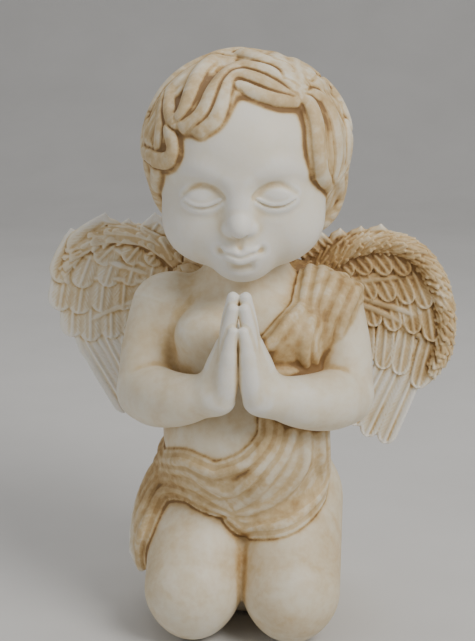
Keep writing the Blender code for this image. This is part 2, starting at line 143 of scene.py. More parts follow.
class Clay:
    """A block of clay: a grid of signed distances in millimetres, below zero inside."""

    SETTLING = 4  # steps that settle a point on the surface

    def __init__(self, low, high, voxel):
        self.voxel = voxel
        self.low = np.array(low, float)
        counts = np.ceil((np.array(high, float) - self.low) / voxel).astype(int) + 1
        self.axes = [(self.low[i] + voxel * np.arange(counts[i])).astype(np.float32) for i in range(3)]
        self.field = np.full(counts, FAR, np.float32)

    def like(self, field=None):
        """Another block on the same grid, empty if no field is given."""
        made = Clay.__new__(Clay)
        made.voxel, made.low, made.axes = self.voxel, self.low, self.axes
        made.field = np.full(self.field.shape, FAR, np.float32) if field is None else field
        return made

    def window(self, low, high):
        """The part of the grid inside a box: its slices, and its x, y and z."""
        spans = []
        for i in range(3):
            first = int(math.floor((low[i] - self.low[i]) / self.voxel))
            last = int(math.ceil((high[i] - self.low[i]) / self.voxel)) + 1
            spans.append(slice(max(first, 0), min(max(last, 0), len(self.axes[i]))))
        x, y, z = (axis[span] for axis, span in zip(self.axes, spans))
        return tuple(spans), (x[:, None, None], y[None, :, None], z[None, None, :])

    def grids(self):
        return self.window(self.low - 1, self.low + 1e6)[1]

    def add(self, shape, blend=0.0, reach=REACH):
        spans, grids = self.window(shape.low - blend - reach, shape.high + blend + reach)
        if self.field[spans].size:
            self.field[spans] = smooth_min(self.field[spans], shape.distance(*grids), blend)
        return self

    def cut(self, shape, blend=0.0):
        spans, grids = self.window(shape.low - blend - REACH, shape.high + blend + REACH)
        if self.field[spans].size:
            self.field[spans] = -smooth_min(-self.field[spans], shape.distance(*grids), blend)
        return self

    def tube(self, rows, margin):
        """Slices round a path of (x, y, z, radius) rows, and the distances there to its round tube."""
        rows = np.asarray(rows, float)
        path, radii = rows[:, :3], rows[:, 3]
        pad = radii.max() + margin
        spans, _ = self.window(path.min(0) - pad, path.max(0) + pad)
        tube = np.full([s.stop - s.start for s in spans], FAR, np.float32)
        if not tube.size:
            return spans, tube
        for a, b, ra, rb in zip(path[:-1], path[1:], radii[:-1], radii[1:]):
            piece = limb(a, ra, b, rb)
            inner, grids = self.window(piece.low - margin, piece.high + margin)
            local = tuple(slice(i.start - s.start, i.stop - s.start) for i, s in zip(inner, spans))
            if tube[local].size:
                np.minimum(tube[local], piece.distance(*grids), out=tube[local])
        return spans, tube

    def add_tube(self, rows, blend=0.0):
        spans, tube = self.tube(rows, blend + REACH)
        if tube.size:
            self.field[spans] = smooth_min(self.field[spans], tube, blend)

    def cut_tube(self, rows, blend=0.0):
        spans, tube = self.tube(rows, blend + REACH)
        if tube.size:
            self.field[spans] = -smooth_min(-self.field[spans], tube, blend)

    def join(self, other, blend):
        """Melts in another block on the same grid."""
        self.field = smooth_min(self.field, other.field, blend)
        return self

    def sample(self, points):
        """The field at any points, in straight lines between grid points."""
        places = (np.asarray(points, float) - self.low) / self.voxel
        base = np.clip(np.floor(places).astype(int), 0, np.array(self.field.shape) - 2)
        f = np.clip(places - base, 0, 1)
        i, j, k = base[..., 0], base[..., 1], base[..., 2]
        total = 0
        for dx, dy, dz in itertools.product((0, 1), repeat=3):
            weight = np.abs(1 - dx - f[..., 0]) * np.abs(1 - dy - f[..., 1]) * np.abs(1 - dz - f[..., 2])
            total = total + weight * self.field[i + dx, j + dy, k + dz]
        return total

    def slope(self, points):
        """The direction that leads out of the clay at each point."""
        steps = np.eye(3) * self.voxel
        slope = np.stack([self.sample(points + s) - self.sample(points - s) for s in steps], axis=-1)
        return slope / np.maximum(np.linalg.norm(slope, axis=-1, keepdims=True), 1e-6)

    def hit(self, origins, directions, near, far):
        """Where each line first meets the clay between two distances, or where it passes closest."""
        steps = np.arange(near, far, self.voxel * 0.5)
        values = self.sample(origins[:, None, :] + directions[:, None, :] * steps[None, :, None])
        inside = values < 0
        met = inside.any(1)
        index = np.where(met, inside.argmax(1), values.argmin(1))
        rows, before = np.arange(len(index)), np.maximum(index - 1, 0)
        inner, outer = values[rows, index], values[rows, before]
        share = np.where(met & (outer > inner), outer / np.maximum(outer - inner, 1e-6), 1)
        distance = steps[before] + (steps[index] - steps[before]) * np.clip(share, 0, 1)
        return origins + directions * distance[:, None]

    def settle(self, points, lift=0.0):
        """The points moved to this height over the clay's surface."""
        points = np.asarray(points, float).copy()
        for _ in range(self.SETTLING):
            points -= self.slope(points) * (self.sample(points) - lift)[:, None]
        return points


def dropped(clay, drawn, count, lift, room, pivot=0, turn=np.eye(3)):
    """A curve drawn on the sheet, dropped onto clay whose own axes have this pivot and turn.

    room is how far before and behind the sheet's distance the clay may lie."""
    curve = spline(drawn, count)
    directions = sight_lines(curve) @ turn
    origins = np.repeat(((CAMERA - pivot) @ turn)[None], count, axis=0)
    points = clay.hit(origins, directions, CAMERA_DISTANCE - room[0], CAMERA_DISTANCE + room[1])
    return clay.settle(points, lift)


def spline(points, count):
    """Points of a Catmull-Rom curve through the given rows, evenly spaced in parameter."""
    p = np.asarray(points, float)
    p = np.vstack([2 * p[0] - p[1], p, 2 * p[-1] - p[-2]])
    place = np.linspace(0, len(p) - 3 - 1e-9, count)
    i = place.astype(int)
    t = (place - i)[:, None]
    a, b, c, d = p[i], p[i + 1], p[i + 2], p[i + 3]
    return 0.5 * (2 * b + (c - a) * t + (2 * a - 5 * b + 4 * c - d) * t**2 + (3 * b - a - 3 * c + d) * t**3)


def mirrored(point, side):
    return (side * point[0], *point[1:])


def chain(stops, count=14, side=1):
    """A smooth tube's rows from (point, radius) stops."""
    return spline([(*mirrored(point, side), radius) for point, radius in stops], count)


def swell(count, radius, start=0.5, end=0.35):
    """Radii along a tube that starts and ends thinner."""
    t = np.linspace(0, 1, count)
    rise = start + (1 - start) * np.sin(np.clip(t / 0.3, 0, 1) * math.pi / 2)
    fall = end + (1 - end) * np.sin(np.clip((1 - t) / 0.35, 0, 1) * math.pi / 2)
    return radius * np.minimum(rise, fall)


def with_radii(path, radii):
    return np.column_stack([path, np.broadcast_to(radii, len(path))])


# ---------------------------------------------------------------- torso, legs and feet

TORSO = [
    ((0, 14, 62), (45, 38, 35), 0),
    ((0, -1, 97), (41, 40, 34), 14),
    ((0, 3, 138), (39, 34, 34), 14),
    ((0, 24, 24), (36, 44, 30), 10),
]
NECK = ((0, 6, 158), 21, (0, 4, 194), 18)
SHOULDER_BAR = ((-33, 7, 158), 15.5, (33, 7, 158), 15.5)
BREAST = ((17, -20, 150), (15, 11, 12))
BUTTOCK = ((19, 37, 49), (26, 25, 25))
THIGH = ((21, 10, 58), 27.5, (24, -31, 25.5), 23.7)
SHIN = ((24, -33, 18), 17, (23, 48, 15), 13)
FOOT = [((23, 46, 15), 12), ((22, 66, 12), 11), ((21, 77, 9), 8)]
TOES = [((27.5, 80, 6.5), 3.6), ((23.6, 82.5, 6.8), 3.6), ((19.6, 84, 7.2), 3.9), ((15, 83.2, 7.6), 4.8)]


def make_torso(clay, reach=REACH):
    for centre, radii, blend in TORSO:
        clay.add(ellipsoid(centre, radii), blend, reach)
    clay.add(limb(*SHOULDER_BAR), 14, reach)
    clay.add(limb(*NECK), 12, reach)
    for side in (LEFT, RIGHT):
        clay.add(ellipsoid(mirrored(BREAST[0], side), BREAST[1]), 9, reach)
        clay.add(ellipsoid(mirrored(BUTTOCK[0], side), BUTTOCK[1]), 5, reach)


def make_leg(clay, side, reach=REACH):
    for (start, start_radius, end, end_radius), blend in ((THIGH, 0), (SHIN, 4)):
        clay.add(limb(mirrored(start, side), start_radius, mirrored(end, side), end_radius), blend, reach)
    clay.add_tube(chain(FOOT, 8, side), 4)
    for toe, radius in TOES:
        clay.add(ball(mirrored(toe, side), radius), 1.2)


def make_skin(clay, reach=REACH):
    """The bare torso and legs, in one block."""
    make_torso(clay, reach)
    for side in (LEFT, RIGHT):
        leg = clay.like()
        make_leg(leg, side, reach)
        clay.join(leg, 4.0)
    return clay


# ---------------------------------------------------------------- arms and praying hands

UPPER_ARM = [((40, 5, 157), 17), ((46.5, -3, 139), 14.4), ((47.5, -11, 122), 14.6)]
FOREARM = [
    ((47.5, -13, 119.5), 14.8), ((39.5, -28, 121), 14.2), ((27.5, -40, 124), 12.2), ((13.5, -48, 129), 9),
]
PALM = [((12, -48, 128), 7.8), ((9.6, -49, 140), 7.2), ((6.2, -50.5, 153), 4.9)]
LITTLE_EDGE = [((8, -52, 128), 6.4), ((5.6, -56, 138), 5.4), ((4.2, -58.3, 151), 3.7)]
THUMB_EDGE = [((11, -43, 132), 6.2), ((8.4, -43.5, 143), 5.6), ((5.8, -45, 153), 4.3)]
THUMB = [((9.5, -41, 136), 5.2), ((7.2, -38, 147), 4.2), ((3.9, -39, 159), 3.2)]
ELBOW_CREASE, WRIST_BLEND, FINGER_BLEND = 1.6, 5.0, 0.7
KNUCKLE = 0.5  # how far a finger's middle stands out
PALM_GAP = 0.15  # half the gap between the palms
FINGERS = [  # base, its radius, tip, its radius, from the little finger in front to the index finger
    ((4.2, -58.5, 148), 3.5, (2.3, -58.4, 161.6), 2.5),
    ((5.4, -54.8, 150), 3.9, (2.6, -55.2, 171.2), 2.7),
    ((5.8, -50.6, 151), 4.1, (2.9, -51.8, 175.9), 2.8),
    ((5.9, -46.2, 150), 4.0, (2.9, -48.2, 172.8), 2.7),
]


def make_arm(block, side):
    arm = block.like()
    arm.add_tube(chain(UPPER_ARM, 48, side))
    fore = block.like()
    fore.add_tube(chain(FOREARM, 56, side))
    arm.join(fore, ELBOW_CREASE)
    hand = block.like()
    hand.add_tube(chain(PALM, 30, side))
    hand.add_tube(chain(LITTLE_EDGE, 24, side), 4)
    hand.add_tube(chain(THUMB_EDGE, 24, side), 4)
    hand.add_tube(chain(THUMB, 24, side), 1.6)
    for base, base_radius, tip, tip_radius in FINGERS:
        middle = [(b + t) / 2 for b, t in zip(base, tip)]
        middle[0] += KNUCKLE
        finger = [(base, base_radius), (middle, (base_radius + tip_radius) / 2 + 0.2), (tip, tip_radius)]
        hand.add_tube(chain(finger, 20, side), FINGER_BLEND)
    arm.join(hand, WRIST_BLEND)
    x = block.grids()[0]
    arm.field = np.maximum(arm.field, PALM_GAP - side * x)
    return arm


# ---------------------------------------------------------------- drape

# Fold crests as (across, up) on the sheet, each from the shoulder or the forearm down towards the lap.
SASH_TOP = [
    [(33, 175), (31, 165), (27.5, 154), (20, 145.5), (12.6, 137), (4, 131)],
    [(39, 172), (36, 160), (31.5, 146), (29, 136), (28.5, 127)],
    [(45, 169), (39.5, 157), (34.5, 146), (32, 135), (33, 125)],
    [(51, 166), (46, 155), (40.5, 144), (38.5, 133), (40, 124.5)],
    [(55, 162), (50, 151), (46, 141), (44, 131), (45, 122)],
]
SASH_ROLL = [(9, 122.2), (20, 122.6), (32, 122.9), (43, 121.6)]
SASH_LOW = [
    [(11.5, 99), (10.8, 88.2), (4.2, 79.4), (-3.2, 74.4), (-13, 71.6)],
    [(16, 97), (14.3, 85.2), (7.4, 75.0), (-1.7, 65.4), (-9.1, 62.1), (-17, 65)],
    [(22.5, 97), (20, 83.8), (13.5, 72.8), (4.2, 61.7), (-4.7, 55)],
    [(28.5, 96), (28.7, 77.9), (24, 68.1), (14.5, 59.3), (4.2, 53.6), (-4.7, 51.6)],
    [(35.5, 95), (36.4, 77.9), (34.5, 66.1), (26.2, 54.8), (15.2, 48.2), (4.2, 46.9), (-5.4, 49)],
    [(38.5, 93), (38.6, 74.2), (36.5, 60), (28.2, 48.5), (18.9, 42.2), (8.6, 41.2), (-1, 43.3), (-7.6, 48.5)],
]
WRAP_FRONT = [
    [(-10, 72), (-17, 71.5), (-25.5, 75.5), (-33.2, 77.3), (-40.4, 75.6)],
    [(-13, 62), (-18.5, 65.6), (-25.5, 71), (-32.6, 73.3), (-39.6, 71.6)],
    [(-7, 54), (-14, 58.8), (-21, 63.4), (-28.9, 67.0), (-36.3, 67.4), (-42.4, 64.6)],
    [(-6, 50.5), (-13, 53.4), (-21, 57.2), (-28.9, 61.6), (-36.3, 61), (-42.4, 57)],
]
# Where each of those goes on, round the hip and down to the hanging tail, as points of the figure.
WRAP_SIDE = [
    [(-48, 4, 72), (-54, 8, 58), (-57.5, 9, 46)],
    [(-48.5, -4, 66), (-54.5, 0, 53), (-57.5, 2, 40)],
    [(-50.5, -12, 58), (-54.5, -8, 47), (-56.5, -6, 33)],
    [(-49.5, -20, 50), (-52, -18, 41), (-51.5, -15, 28.5)],
]
# Round the back, from the right hip up to the left shoulder blade.
SASH_BACK = [
    [(-43, -10, 82), (-46, 12, 86), (-34, 40, 92), (-8, 44, 108),
     (16, 40, 136), (30, 30, 162), (33, 16, 172)],
    [(-45, -10, 76), (-48, 14, 78), (-34, 44, 84), (-6, 47, 99),
     (20, 42, 126), (36, 32, 154), (39, 16, 171)],
    [(-47, -8, 70), (-49, 14, 70), (-34, 50, 76), (-2, 52, 88),
     (24, 43, 114), (41, 32, 144), (45, 14, 168)],
    [(-49, -4, 63), (-50, 14, 61), (-34, 56, 67), (2, 58, 76),
     (30, 46, 102), (46, 28, 134), (50, 10, 164)],
]
FOLD = 2.1  # radius of a fold's crest
CLOTH = 1.5  # how far the flat cloth stands off the skin
CLOTH_REACH = 5.2  # how far the cloth goes each side of a crest
CREST_LIFT = 2.2  # how high the middle of a crest stands over the skin
WEB = 1.0  # radius of the cloth that hangs between two folds
WIDEST = 30.0  # folds farther apart than this are not joined
HEM = 1.7
ROLL, ROLL_LIFT = 2.5, 2.6  # the roll of cloth over the forearm's top: its radius and height
SOFT_EDGE = 3.4  # how wide the corner between folds and flat cloth is filled
CLOTH_ROOM = (110, 90)


def drape_folds(guide):
    """Every fold's path over the skin, as rows with radii, in groups of neighbours."""
    groups = {"front": [], "low": [], "wrap": [], "back": []}
    for i, drawn in enumerate(SASH_TOP):
        path = dropped(guide, drawn, 30, CREST_LIFT, CLOTH_ROOM)
        start = guide.settle(SASH_BACK[min(i, 3)][-1:], CREST_LIFT)
        groups["front"].append(with_radii(np.vstack([start, path]), swell(31, FOLD, 0.8, 0.75)))
    for drawn in SASH_LOW:
        path = dropped(guide, drawn, 36, CREST_LIFT, CLOTH_ROOM)
        groups["low"].append(with_radii(path, swell(36, FOLD, 0.9, 0.6)))
    for drawn, beside in zip(WRAP_FRONT, WRAP_SIDE):
        front = dropped(guide, drawn, 16, CREST_LIFT, CLOTH_ROOM)
        stops = np.vstack([front[::3], beside])
        groups["wrap"].append(with_radii(spline(stops, 44), swell(44, FOLD * 1.05, 0.6, 0.8)))
    for stops in SASH_BACK:
        curve = guide.settle(spline(stops, 40), CREST_LIFT)
        groups["back"].append(with_radii(curve, swell(40, FOLD, 0.8, 0.8)))
    return groups


def add_web(clay, one, other, radius, widest, step=0.7):
    """Fills between two neighbouring curves, as cloth between folds does."""
    length = max(np.linalg.norm(np.diff(rows[:, :3], axis=0), axis=1).sum() for rows in (one, other))
    count = int(length / (step * clay.voxel)) + 2
    for start, end in zip(spline(one[:, :3], count), spline(other[:, :3], count)):
        if np.linalg.norm(end - start) < widest:
            clay.add(limb(start, radius, end, radius))


def make_drape(skin, guide):
    groups = drape_folds(guide)
    folds = [rows for group in groups.values() for rows in group]
    pairs = [pair for group in groups.values() for pair in zip(group[:-1], group[1:])]
    cloth = skin.like()
    for rows in folds:
        wide = rows.copy()
        wide[:, 3] += CLOTH_REACH - FOLD
        cloth.add_tube(wide[::2], 1.5)
    for one, other in pairs:
        add_web(cloth, one, other, CLOTH_REACH - 1, WIDEST, 3.0)
    cloth.field = -smooth_min(-cloth.field, CLOTH - skin.field, 1.0)
    for one, other in pairs:
        add_web(cloth, one, other, WEB, WIDEST)
    ridges = skin.like()
    for rows in folds:
        ridges.add_tube(rows, 0.8)
    roll = dropped(guide, SASH_ROLL, 16, ROLL_LIFT, CLOTH_ROOM)
    ridges.add_tube(with_radii(roll, swell(16, ROLL, 0.5, 0.6)), 1.0)
    hem = spline([rows[-1, :3] for rows in groups["wrap"]], 24)
    ridges.add_tube(with_radii(hem, HEM), 1.0)
    cloth.join(ridges, SOFT_EDGE)
    return cloth


# ---------------------------------------------------------------- head

HEAD_PIVOT = np.array([0.0, 5.0, 180.0])
HEAD_NOD, HEAD_LEAN = math.radians(8.0), math.radians(-1.5)


def head_matrix():
    """Turns head axes, with the face at -Y and the chin near zero height, into the figure's."""
    nod = np.array([
        [1, 0, 0],
        [0, math.cos(HEAD_NOD), -math.sin(HEAD_NOD)],
        [0, math.sin(HEAD_NOD), math.cos(HEAD_NOD)],
    ])
    lean = np.array([
        [math.cos(HEAD_LEAN), 0, math.sin(HEAD_LEAN)],
        [0, 1, 0],
        [-math.sin(HEAD_LEAN), 0, math.cos(HEAD_LEAN)],
    ])
    return lean @ nod


HEAD_TURN = head_matrix()

SKULL = [
    ((0, 9, 58), (41, 45.5, 35.5), 0),
    ((0, -2, 38), (37.5, 36.5, 35), 12),
    ((0, -4, 61), (35.5, 34, 29), 12),
    ((0, 2, 18), (26, 29, 15), 10),
]
CHEEK = ((18.5, -18, 26), (17.5, 16.5, 15.5))
CHIN = ((0, -27.5, 9.5), (11.5, 10.5, 8))
BROW = [((6, -35, 54), 2.2), ((16, -33.5, 58), 2.8), ((27, -25, 55), 2.2)]
EYE_X, EYE_Z = 16.5, 44.5
EYE_RADIUS = 9.2
SOCKET = ((EYE_X, -43, EYE_Z + 1), (10.5, 6, 7.5))
NOSE_BRIDGE = ((0, -35.5, 50), 3.6, (0, -40.8, 36), 4.0)
NOSE_TIP = ((0, -43.2, 32.6), 4.7)
NOSTRIL_WING = ((4.6, -39.6, 31), 3.0)
NOSTRIL = ((2.3, -43.0, 28.6), 0.9)
MUZZLE = ((0, -33.0, 19.5), (12.5, 8.5, 9))
MOUTH_Z, MOUTH_HALF = 18.4, 9.6


def on_face(clay, places, lift):
    """Points of the face's front over these (x, z) places."""
    places = np.asarray(places, float)
    origins = np.column_stack([places[:, 0], np.full(len(places), -70.0), places[:, 1]])
    directions = np.repeat(np.array([[0.0, 1.0, 0.0]]), len(places), axis=0)
    points = clay.hit(origins, directions, 0, 60)
    points[:, 1] -= lift
    return points


def make_face(clay):
    """A generic calm cherub: closed eyes, a button nose, full cheeks and a faint smile."""
    for centre, radii, blend in SKULL:
        clay.add(ellipsoid(centre, radii), blend, 8)
    for side in (LEFT, RIGHT):
        clay.add(ellipsoid(mirrored(CHEEK[0], side), CHEEK[1]), 14, 8)
    clay.add(ellipsoid(*CHIN), 9, 8)
    clay.add(ellipsoid(*MUZZLE), 10, 8)
    for side in (LEFT, RIGHT):
        clay.cut(ellipsoid(mirrored(SOCKET[0], side), SOCKET[1]), 7)
        clay.add_tube(chain(BROW, 12, side), 7)
    clay.add(limb(*NOSE_BRIDGE), 8)
    clay.add(ball(*NOSE_TIP), 4)
    for side in (LEFT, RIGHT):
        clay.add(ball(mirrored(NOSTRIL_WING[0], side), NOSTRIL_WING[1]), 2.4)
        clay.cut(ball(mirrored(NOSTRIL[0], side), NOSTRIL[1]), 1.4)
    for side in (LEFT, RIGHT):
        make_eye(clay, side)
    make_mouth(clay)


def make_eye(clay, side):
    """A full, closed eyelid over a soft lower lid, with a lash line that dips and a shallow crease above."""
    surface = on_face(clay, [(side * EYE_X, EYE_Z)], 0)[0]
    centre = surface + (0, EYE_RADIUS * 0.62, 0)
    clay.add(ellipsoid(centre, (EYE_RADIUS, EYE_RADIUS * 0.9, EYE_RADIUS * 0.66)), 5.5)
    t = np.linspace(-1, 1, 19)
    taper = np.sqrt(np.maximum(1 - t**2, 0.03))
    line = np.column_stack([side * (EYE_X + 8.9 * t), EYE_Z - 4.2 + 3.2 * t**2 - 0.6 * t])
    lid = on_face(clay, line + (0, -1.6), 0)
    clay.add_tube(with_radii(lid + (0, 0.75, 0), 0.75 * taper + 0.1), 3.2)
    lash = on_face(clay, line, 0)
    clay.add_tube(with_radii(lash + (0, 0.4, 0.9), 0.75 * taper + 0.15), 1.8)
    clay.cut_tube(with_radii(lash + (0, 0.1, -0.2), 0.5 * taper + 0.1), 0.9)
    crease = on_face(clay, np.column_stack([side * (EYE_X + 9.6 * t), EYE_Z + 6.0 - 5.0 * t**2]), 0)
    clay.cut_tube(with_radii(crease, 0.45 * taper + 0.05), 2.6)


def make_mouth(clay):
    t = np.linspace(-1, 1, 25)
    taper = np.sqrt(np.maximum(1 - t**2, 0.0))
    line = MOUTH_Z + 2.3 * t**2 - 0.35 * np.cos(t * math.pi * 2)
    bow = 0.9 * np.exp(-(((np.abs(t) - 0.26) / 0.2) ** 2))
    upper = on_face(clay, np.column_stack([MOUTH_HALF * 0.9 * t, line + 1.3 + 0.5 * bow]), 0)
    lower = on_face(clay, np.column_stack([MOUTH_HALF * 0.66 * t, line - 2.1]), 0)
    clay.add_tube(with_radii(upper + (0, 0.35, 0), 0.5 + 1.25 * taper), 1.8)
    clay.add_tube(with_radii(lower + (0, 0.55, 0), 0.4 + 1.9 * taper), 1.8)
    parting = on_face(clay, np.column_stack([MOUTH_HALF * t, line]), 0)
    clay.cut_tube(with_radii(parting, 0.2 + 0.4 * taper), 1.0)
    for side in (LEFT, RIGHT):
        corner = on_face(clay, [(side * (MOUTH_HALF + 0.3), line[0] + 0.1)], 0)[0]
        clay.cut(ball(corner - (0, 0.3, 0), 0.8), 3.2)
    under = on_face(clay, [(-4, MOUTH_Z - 6.2), (0, MOUTH_Z - 6.6), (4, MOUTH_Z - 6.2)], 0.4)
    clay.cut_tube(with_radii(under, [0.3, 0.6, 0.3]), 4.5)
    groove = on_face(clay, [(0, 26.5), (0, 24.5), (0, 22.4)], 0.2)
    clay.cut_tube(with_radii(groove, [0.4, 0.55, 0.4]), 2.6)


HAIR_CENTRE = np.array([1.0, 10.0, 58.0])
HAIR_CAP = (HAIR_CENTRE, (44.0, 48.5, 36.2))
SCALP = (HAIR_CENTRE, (42.6, 47.2, 35.0))
NAPE = ((1, 21, 32), (39, 33, 31))
FACE_OPENING = ((0, -52, 40), (36.0, 50, 46))
CREST_BLEND = 6.5
LOCK_SINK = -1.0  # height of a lock's broad body over the hair
LOCK_BODY = 2.0  # how much wider that body is than the lock's crest
CREST_RISE = 0.72  # how high a crest's middle stands over the hair, as a share of its radius
LOCK_STEPS, STRAND_STEPS = 36, 22  # points along a front lock and along a strand at the back
HAIR_ROOM = (130, 60)
# Crests of the locks as (across, up) on the sheet, each with its radius. All of them leave the parting.
FRONT_LOCKS = [
    ([(8, 283), (-3, 286), (-13.2, 287), (-25.3, 285.3), (-34, 279.5), (-42.2, 270), (-46.5, 260)], 3.7),
    ([(18, 275), (9, 280.5), (-1.1, 282), (-8.4, 283.2), (-17.6, 283.4), (-25.3, 279.5), (-33.5, 270.3),
      (-40.7, 262.4), (-46.0, 256.3), (-47.5, 252.0)], 3.8),
    ([(-23.4, 272.8), (-30.1, 267.4), (-35.4, 262.6), (-36.6, 256.8), (-35.4, 250.5), (-33, 247)], 2.8),
    ([(21, 268), (15, 273.5), (7.1, 276.7), (1.3, 278.6), (-6, 279.6), (-13.2, 277.8), (-20.5, 272.0),
      (-24.3, 264.6), (-27.2, 256.8), (-30.1, 251.5), (-33.5, 249.2)], 3.9),
    ([(21.5, 262), (17.5, 267), (11.6, 270.7), (5, 272.7), (-2.1, 273.6), (-7.4, 271.1), (-11.8, 266.5),
      (-15.6, 260.7), (-18.5, 254.9), (-22.9, 249.6), (-28.7, 246.0)], 3.4),
    ([(22, 260), (14, 263.5), (5, 267.6), (-3.1, 269.8), (-8.4, 267.5), (-10.8, 260.7), (-12.2, 254.9),
      (-15, 248.4), (-21, 244.0)], 3.1),
    ([(22.5, 258.2), (14.6, 258.6), (5.7, 261.2), (-1.7, 264.4), (-7, 265.5)], 2.5),
    ([(-44.5, 258), (-49, 252.0), (-51.2, 245.7), (-50.0, 239.4), (-46.6, 234.6), (-40.9, 230.8),
      (-36.4, 230.8), (-34.5, 233.9), (-34.8, 239.4), (-36.8, 245.2)], 3.2),
    ([(-34, 266), (-37.4, 261.6), (-38.8, 255.4), (-39.8, 248.1), (-40.8, 240.9), (-41.5, 236)], 2.5),
    ([(-40, 262), (-43.4, 255), (-45.6, 248), (-46, 241), (-43.5, 236)], 2.5),
    ([(26, 259.5), (29.6, 256.8), (33, 247.5), (33.9, 236.4), (35.4, 225.4), (38.9, 218.6)], 3.1),
    ([(26, 261), (30, 260.6), (35, 258.6), (39.6, 251.8), (42.0, 243.2), (42.6, 232.1), (40.6, 221.6)], 3.2),
    ([(26.5, 263), (30, 264.4), (36.7, 265.6), (42.6, 260.5), (46.0, 251.8), (46.8, 241.7),
      (46.0, 230.2), (42.6, 222.4)], 3.3),
    ([(28, 267), (36, 270), (44.0, 265.4), (48.5, 256), (50.6, 245.4), (51.2, 237.8), (49.7, 229.9),
      (46.5, 227)], 3.3),
    ([(24.9, 259.5), (24.6, 266.8), (22.8, 274.0), (22.2, 281)], 3.7),
    ([(27.8, 263), (28.8, 270.5), (30.8, 277.0), (36.2, 275.6), (41.2, 271)], 3.4),
    ([(22, 262), (19.5, 269), (15.5, 276), (11, 283)], 3.6),
    ([(50.0, 226), (48.8, 213.7), (46.0, 202.6), (42.4, 194.5)], 3.4),
    ([(44.1, 222), (43.4, 210), (41.6, 199.2)], 2.8),
    ([(-47.4, 233.6), (-46.6, 223), (-44.4, 212), (-41, 200)], 3.4),
    ([(-42.2, 229.8), (-42.0, 216.2), (-39.6, 204)], 2.8),
]
# Neighbouring locks of that list, whose valley is filled where they are less than VALLEY_WIDEST apart.
LOCK_PAIRS = [
    (0, 1), (1, 3), (3, 4), (4, 5), (5, 6), (1, 2), (2, 8), (8, 9), (9, 7),
    (10, 11), (11, 12), (12, 13), (14, 15), (16, 14), (16, 0), (17, 18), (19, 20),
]
VALLEY_WIDEST, VALLEY, VALLEY_LIFT = 19.0, 3.0, 1.4
LINED_LOCKS = 14  # how many locks, from the first, have strand lines
STRAND_LINE = 0.5  # radius of the lines cut along each side of a lock's crest


class LockTier:
    """Locks that fall round the sides and back, each of three strands that part and meet again at a tip."""

    def __init__(self, count, first, last, start, end, lift):
        """How many, their turns from the front, angles down from the crown, and height off the scalp."""
        self.count, self.first, self.last = count, first, last
        self.start, self.end, self.lift = start, end, lift


BACK_TIERS = [
    LockTier(11, 68, 292, 66, 145, 0.0),
    LockTier(10, 74, 286, 30, 98, 1.2),
    LockTier(8, 84, 276, 9, 62, 2.2),
]
STRAND_SPREAD, STRAND_RADIUS = 8.6, 3.2
TIER_BLEND = 4.0


def back_strands(tier, tier_index):
    """Every strand of a tier, as (turn, angle from the crown) stops, and how high it stands."""
    t = np.linspace(0, 1, 9)
    for i in range(tier.count):
        turn = tier.first + (tier.last - tier.first) * i / (tier.count - 1)
        end = tier.end + 6 * math.sin(2.7 * i + 1.9 * tier_index)
        sway = 6.5 * np.sin(math.pi * 1.7 * t + 1.9 * i + tier_index) * (0.3 + 0.7 * t)
        parting = np.sin(math.pi * np.clip(0.1 + 0.9 * t, 0, 1)) ** 0.6
        for strand in (-1, 0, 1):
            turns = turn + sway + strand * STRAND_SPREAD * parting
            angles = tier.start + (end - tier.start) * t - 4 * abs(strand) * t
            yield np.column_stack([turns, angles]), tier.lift + (0.9 if strand == 0 else 0.0)


def around_head(guide, stops, count, lift):
    """A curve over the scalp through (turn, angle from the crown) stops."""
    turn, down = np.radians(spline(stops, count)).T
    outward = np.column_stack([np.sin(turn) * np.sin(down), -np.cos(turn) * np.sin(down), np.cos(down)])
    points = guide.hit(HAIR_CENTRE + outward * 78, -outward, 0, 76)
    return guide.settle(points, lift)


def make_hair(clay):
    guide = Clay((-70, -70, -10), (72, 90, 135), GUIDE_VOXEL)
    guide.add(ellipsoid(*HAIR_CAP), 0, 80)
    guide.add(ellipsoid(*NAPE), 16, 80)
    scalp = clay.like()
    scalp.add(ellipsoid(*SCALP), 0, 8)
    scalp.add(ellipsoid(NAPE[0], np.array(NAPE[1]) - 2), 14, 8)
    scalp.cut(ellipsoid(*FACE_OPENING), 2)
    for index, tier in enumerate(BACK_TIERS):
        layer = clay.like()
        for stops, lift in back_strands(tier, index):
            path = around_head(guide, stops, STRAND_STEPS, lift)
            layer.add_tube(with_radii(path, swell(STRAND_STEPS, STRAND_RADIUS, 0.5, 0.3)), 1.0)
        scalp.join(layer, CREST_BLEND if index == 0 else TIER_BLEND)
    mass, crests = clay.like(), clay.like()
    room, count = HAIR_ROOM, LOCK_STEPS
    paths = [dropped(guide, drawn, count, 0.0, room, HEAD_PIVOT, HEAD_TURN) for drawn, _ in FRONT_LOCKS]
    for one, other in LOCK_PAIRS:
        ends = [guide.settle(paths[i], VALLEY_LIFT) for i in (one, other)]
        add_web(mass, *ends, VALLEY, VALLEY_WIDEST, 1.6)
    for path, (_, radius) in zip(paths, FRONT_LOCKS):
        bed = guide.settle(path, LOCK_SINK)
        mass.add_tube(with_radii(bed, swell(count, radius + LOCK_BODY, 0.6, 0.4)), 1.8)
        crest = guide.settle(path, CREST_RISE * radius)
        crests.add_tube(with_radii(crest, swell(count, radius, 0.5, 0.4)), 2.2)
    mass.join(crests, CREST_BLEND)
    for path, (_, radius) in zip(paths[:LINED_LOCKS], FRONT_LOCKS):
        flow = np.gradient(path, axis=0)
        across = np.cross(flow, guide.slope(path))
        across /= np.linalg.norm(across, axis=1, keepdims=True)
        for side in (-1, 1):
            beside = guide.settle(path, CREST_RISE * radius) + side * across * radius * 0.62
            mass.cut_tube(with_radii(mass.settle(beside, 0.0), swell(count, STRAND_LINE, 0.2, 0.2)), 1.0)
    scalp.join(mass, 1.6)
    return scalp


